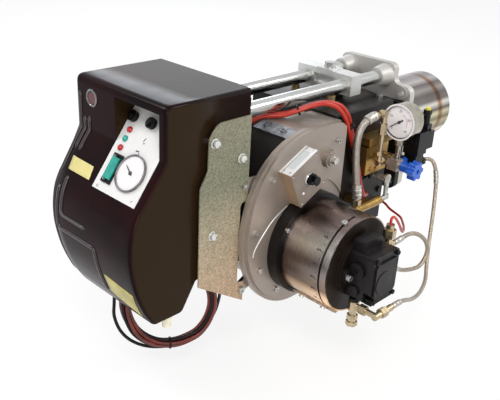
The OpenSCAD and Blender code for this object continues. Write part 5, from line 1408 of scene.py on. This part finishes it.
class BURNER_OT_castings(bpy.types.Operator):
    """Dresses the flange, the rail bridge, the head casing, the fan cover and its housing"""

    bl_idname = "burner.castings"
    bl_label = "Castings"
    bl_options = {"REGISTER", "UNDO"}

    def execute(self, context):
        sizes = context.scene.burner_sizes
        soft, crisp = sizes.soft_edge, sizes.crisp_edge
        dressed("mounting_flange", "flange", soft)
        dressed("flange_gasket", "gasket", crisp)
        dressed("rail_bridge", "bridge", soft)
        dressed("slide_pillars", "pillar", crisp)
        dressed("head_casing", "casing", soft * 0.8)
        # The housing's rear is made near-black: partly black sheet, partly painted shade behind the
        # cover's rim.
        dressed("fan_housing", "cast", soft, ("inside", housing_rear))
        dressed("fan_cover", "cast", soft)
        # A thin bead in the light bridge tone: a painted highlight along the cover's step edge.
        points, faces, _ = tube_surface(through(COVER_HIGHLIGHT_LINE, 6), 0.0011, 10)
        new_piece("cover_bead", points, faces, "bridge", "fan_cover")
        for node, coat in (("casing_screws", "screw"), ("cover_screws", "screw"),
                           ("fan_wheel", "plain_zinc"), ("motor_body", "motor"),
                           ("drive_shaft", "rail"), ("guide_rails", "rail"),
                           ("blast_tube", "tube"), ("diffuser_disc", "plain_zinc"),
                           ("nozzle_line", "brass"), ("air_flap", "plain_zinc"),
                           ("inner_panel", "inside"), ("cable_gland", "pale")):
            coated(node, coat)
        return {"FINISHED"}


class BURNER_OT_drum(bpy.types.Operator):
    """Dresses the air drum, its collar and disc, and prints its scale"""

    bl_idname = "burner.drum"
    bl_label = "Air drum"
    bl_options = {"REGISTER", "UNDO"}

    def execute(self, context):
        sizes = context.scene.burner_sizes
        dressed("drum_collar", "collar", sizes.crisp_edge * 1.6)
        dressed("drum_disc", "disc", sizes.crisp_edge)
        coated("air_drum", "drum")
        dressed("drum_strip", "plain_zinc", 0.0003)
        coated("drum_screws", "screw")
        self.scale(sizes.digit)
        return {"FINISHED"}

    def scale(self, height):
        """Digits 1 to 7 and their ticks, wrapped on the drum beside the long slot."""
        lift, first, step = 0.00025, 56, 16
        parts = []
        for k in range(7):
            at = first + step * k
            points, faces = lettering(str(k + 1), height, 0.00025)
            parts.append((points + [math.radians(at) * DRUM_R, 0.0134], faces))
            parts.append(bars([(math.radians(at + d) * DRUM_R, 0.0078, np.pi / 2, l, 0.0011)
                               for d, l in ((-1, 0.0034), (7, 0.0020))]))
        flat, faces = gathered(parts)
        a, r = flat[:, 0] / DRUM_R, DRUM_R + lift
        points = np.stack([FAN_AXIS[0] - r * np.sin(a), DRUM_END + 0.011 + flat[:, 1],
                           FAN_AXIS[2] - r * np.cos(a)], -1)
        new_piece("drum_scale", points, faces, "ink", "air_drum", smooth=False)


class BURNER_OT_pump(bpy.types.Operator):
    """Dresses the oil pump"""

    bl_idname = "burner.pump"
    bl_label = "Oil pump"
    bl_options = {"REGISTER", "UNDO"}

    def execute(self, context):
        soft = context.scene.burner_sizes.soft_edge
        dressed("pump_body", "pump", soft)
        dressed("pump_cover", "pump", soft)
        dressed("pump_screws", "black", 0.0004, ("screw", clamp_screw))
        return {"FINISHED"}


class BURNER_OT_switch_box(bpy.types.Operator):
    """Dresses the switch box on the fan cover and its knob"""

    bl_idname = "burner.switch_box"
    bl_label = "Switch box"
    bl_options = {"REGISTER", "UNDO"}

    def execute(self, context):
        # The lid gets a painted highlight and the end a painted reflection, chosen by the way they
        # face.
        dressed("switch_box", "box", context.scene.burner_sizes.crisp_edge,
                ("box_lid", box_lid), ("box_end", box_end))
        dressed("box_knob", "black", 0.0008)
        self.trim()
        return {"FINISHED"}

    def trim(self):
        """The plain pale label on the lid, its screws, the knob's bright ring and a white lamp."""
        top = BOX + BOX_UP * BOX_TOP
        flat, faces = bars([(0.002, -0.0125, 0.0, 0.040, 0.0105)])
        points = top + flat[:, :1] * BOX_ALONG + flat[:, 1:] * FAR
        new_piece("box_label", points, faces, "box_label", "switch_box", smooth=False)
        head = [(0, 0.0017), (0.0009, 0.0016), (0.0012, 0.0009), (0.0008, 0.0001)]
        screws = [turned(head, top + u * BOX_ALONG + w * FAR - 0.0006 * BOX_UP, BOX_UP, 16)
                  for u, w in ((-0.027, -0.0185), (0.028, -0.006), (-0.027, -0.006),
                               (0.028, -0.0185))]
        points, faces = gathered(screws)
        new_piece("box_screws", points, faces, "screw", "switch_box")
        ring = [(-0.0004, 0.0108), (0.0014, 0.0106), (0.0024, 0.0098), (0.0024, 0.0090),
                (0.0006, 0.0086)]
        points, faces = turned(ring, KNOB, -FAR, 48)
        new_piece("knob_ring", points, faces, "chrome", "switch_box")
        dot = [(-0.0004, 0.0021), (0.0010, 0.0020), (0.0017, 0.0012), (0.0019, 0.0001)]
        points, faces = turned(dot, BOX - 0.0242 * FAR - 0.0195 * BOX_ALONG - 0.013 * BOX_UP,
                               -FAR, 20)
        new_piece("box_lamp", points, faces, "face", "switch_box")


class BURNER_OT_valves(bpy.types.Operator):
    """Dresses the valve group, its handwheels, the solenoid and the jack"""

    bl_idname = "burner.valves"
    bl_label = "Valve group"
    bl_options = {"REGISTER", "UNDO"}

    def execute(self, context):
        crisp = context.scene.burner_sizes.crisp_edge
        dressed("valve_block", "block", crisp * 1.6)
        dressed("brass_fittings", "brass", crisp)
        dressed("manual_valve", "nickel", crisp * 1.6)
        dressed("blue_knob", "blue", 0.0014)
        dressed("bleed_knob", "blue", 0.0008)
        dressed("solenoid_coil", "black", crisp * 1.4)
        dressed("coil_plug", "black", crisp * 1.2, ("yellow", plug_cap))
        dressed("jack_cylinder", "block", crisp)
        dressed("jack_rod", "screw", crisp)
        return {"FINISHED"}


class BURNER_OT_gauge(bpy.types.Operator):
    """Dresses the pressure gauge and prints its dial"""

    bl_idname = "burner.gauge"
    bl_label = "Pressure gauge"
    bl_options = {"REGISTER", "UNDO"}

    def execute(self, context):
        # The inner wall round the face is inked dark as painted shade.
        dressed("gauge_case", "gauge", 0.0005, ("face", gauge_face), ("ink", gauge_wall_shade))
        # A dark ring just inside the rim: a painted shadow.
        points, faces = turned([(0.0006, 0.0284), (0.0003, 0.0274), (0.0, 0.0272)],
                               GAUGE + [0.00295, 0, 0], (-1, 0, 0), 96)
        new_piece("gauge_seal", points, faces, "ink", "gauge_case")
        along = (0, math.sin(2.2), math.cos(2.2))
        pointer("gauge_needle", GAUGE + [0.0024, 0, 0], (-1, 0, 0), along, 0.0235, 0.009)
        self.marks()
        return {"FINISHED"}

    def marks(self):
        """Ticks round three quarters of the dial, plain numbers 0 to 40 and a red mark."""
        ticks, sweep, rim, number_r, red_r = 41, 135, 0.0268, 0.0190, 0.0150
        big = np.arange(ticks) % 10 == 0
        mid = np.arange(ticks) % 5 == 0
        lengths = np.where(big, 0.0036, np.where(mid, 0.0028, 0.0018))
        flat = [round_ticks(np.radians(np.linspace(-sweep, sweep, ticks)), rim - lengths / 2,
                            lengths, np.where(mid, 0.0006, 0.00035))]
        for k in range(5):
            t = math.radians(sweep * (k / 2 - 1))
            points, faces = lettering(str(10 * k), 0.0062)
            flat.append((points + [number_r * math.sin(t), number_r * math.cos(t)], faces))
        self.lay(gathered(flat), "gauge_marks", "ink")
        arc = np.radians(np.linspace(20, 110, 19))
        rows = np.stack(np.broadcast_arrays(red_r * np.sin(arc), red_r * np.cos(arc), -arc,
                                            0.0014, 0.0007), -1)
        self.lay(bars(rows), "gauge_red_marks", "red_ink")

    def lay(self, drawing, name, coat):
        """Lays a flat drawing on the gauge's face: x to the right (-Y), y up."""
        flat, faces = drawing
        x = np.full(len(flat), GAUGE[0] + 0.00292)
        points = np.stack([x, GAUGE[1] - flat[:, 0], GAUGE[2] + flat[:, 1]], -1)
        new_piece(name, points, faces, coat, "gauge_case", smooth=False)


class BURNER_OT_sheet_metal(bpy.types.Operator):
    """Dresses the side brackets, their studs and the strip on the fan housing"""

    bl_idname = "burner.sheet_metal"
    bl_label = "Sheet metal"
    bl_options = {"REGISTER", "UNDO"}

    def execute(self, context):
        dressed("side_brackets", "plate", 0.0004)
        coated("bracket_studs", "screw")
        head = [(0.0, 0.0072), (0.0013, 0.0074), (0.0016, 0.0060), (0.0060, 0.0058),
                (0.0076, 0.0050), (0.0084, 0.0034), (0.0086, 0.0001)]
        parts = []
        for side, share in ((-1, 1.0), (1, 0.5)):
            for x, z in ((-0.509, 0.102), (-0.456, 0.068), (-0.509, -0.039)):
                parts.append(turned(np.array(head) * [share, 1.0], (x, side * 0.1105, z),
                                    (0, side, 0), 32))
        points, faces = gathered(parts)
        new_piece("stud_heads", points, faces, "stud", "bracket_studs")
        dressed("top_strip", "strip", 0.0003)
        return {"FINISHED"}


class BURNER_PT_dressing(bpy.types.Panel):
    """Lists the steps that dress the burner, with their colours and sizes."""

    bl_label = "Oil burner"
    bl_idname = "BURNER_PT_dressing"
    bl_space_type = "VIEW_3D"
    bl_region_type = "UI"
    bl_category = "Oil burner"

    def draw(self, context):
        """Draws a button for each step, then the settings."""
        scene = context.scene
        for step in STEPS:
            self.layout.operator(step.bl_idname)
        for group in (scene.burner_colours, scene.burner_sizes):
            for key in group.__annotations__:
                self.layout.prop(group, key)


STEPS = (BURNER_OT_stage, BURNER_OT_cords, BURNER_OT_crimps, BURNER_OT_hood, BURNER_OT_panel,
         BURNER_OT_castings, BURNER_OT_drum, BURNER_OT_pump, BURNER_OT_switch_box,
         BURNER_OT_valves, BURNER_OT_gauge, BURNER_OT_sheet_metal)
CLASSES = (BurnerColours, BurnerSizes, *STEPS, BURNER_PT_dressing)


def register():
    """Registers the classes and hangs the settings on the scene."""
    for cls in CLASSES:
        bpy.utils.register_class(cls)
    bpy.types.Scene.burner_colours = bpy.props.PointerProperty(type=BurnerColours)
    bpy.types.Scene.burner_sizes = bpy.props.PointerProperty(type=BurnerSizes)


def unregister():
    """Takes the settings and the classes away again."""
    del bpy.types.Scene.burner_sizes
    del bpy.types.Scene.burner_colours
    for cls in reversed(CLASSES):
        bpy.utils.unregister_class(cls)


def main():
    """Runs every step in order."""
    register()
    for step in STEPS:
        group, name = step.bl_idname.split(".")
        getattr(getattr(bpy.ops, group), name)()


if __name__ == "__main__":
    main()
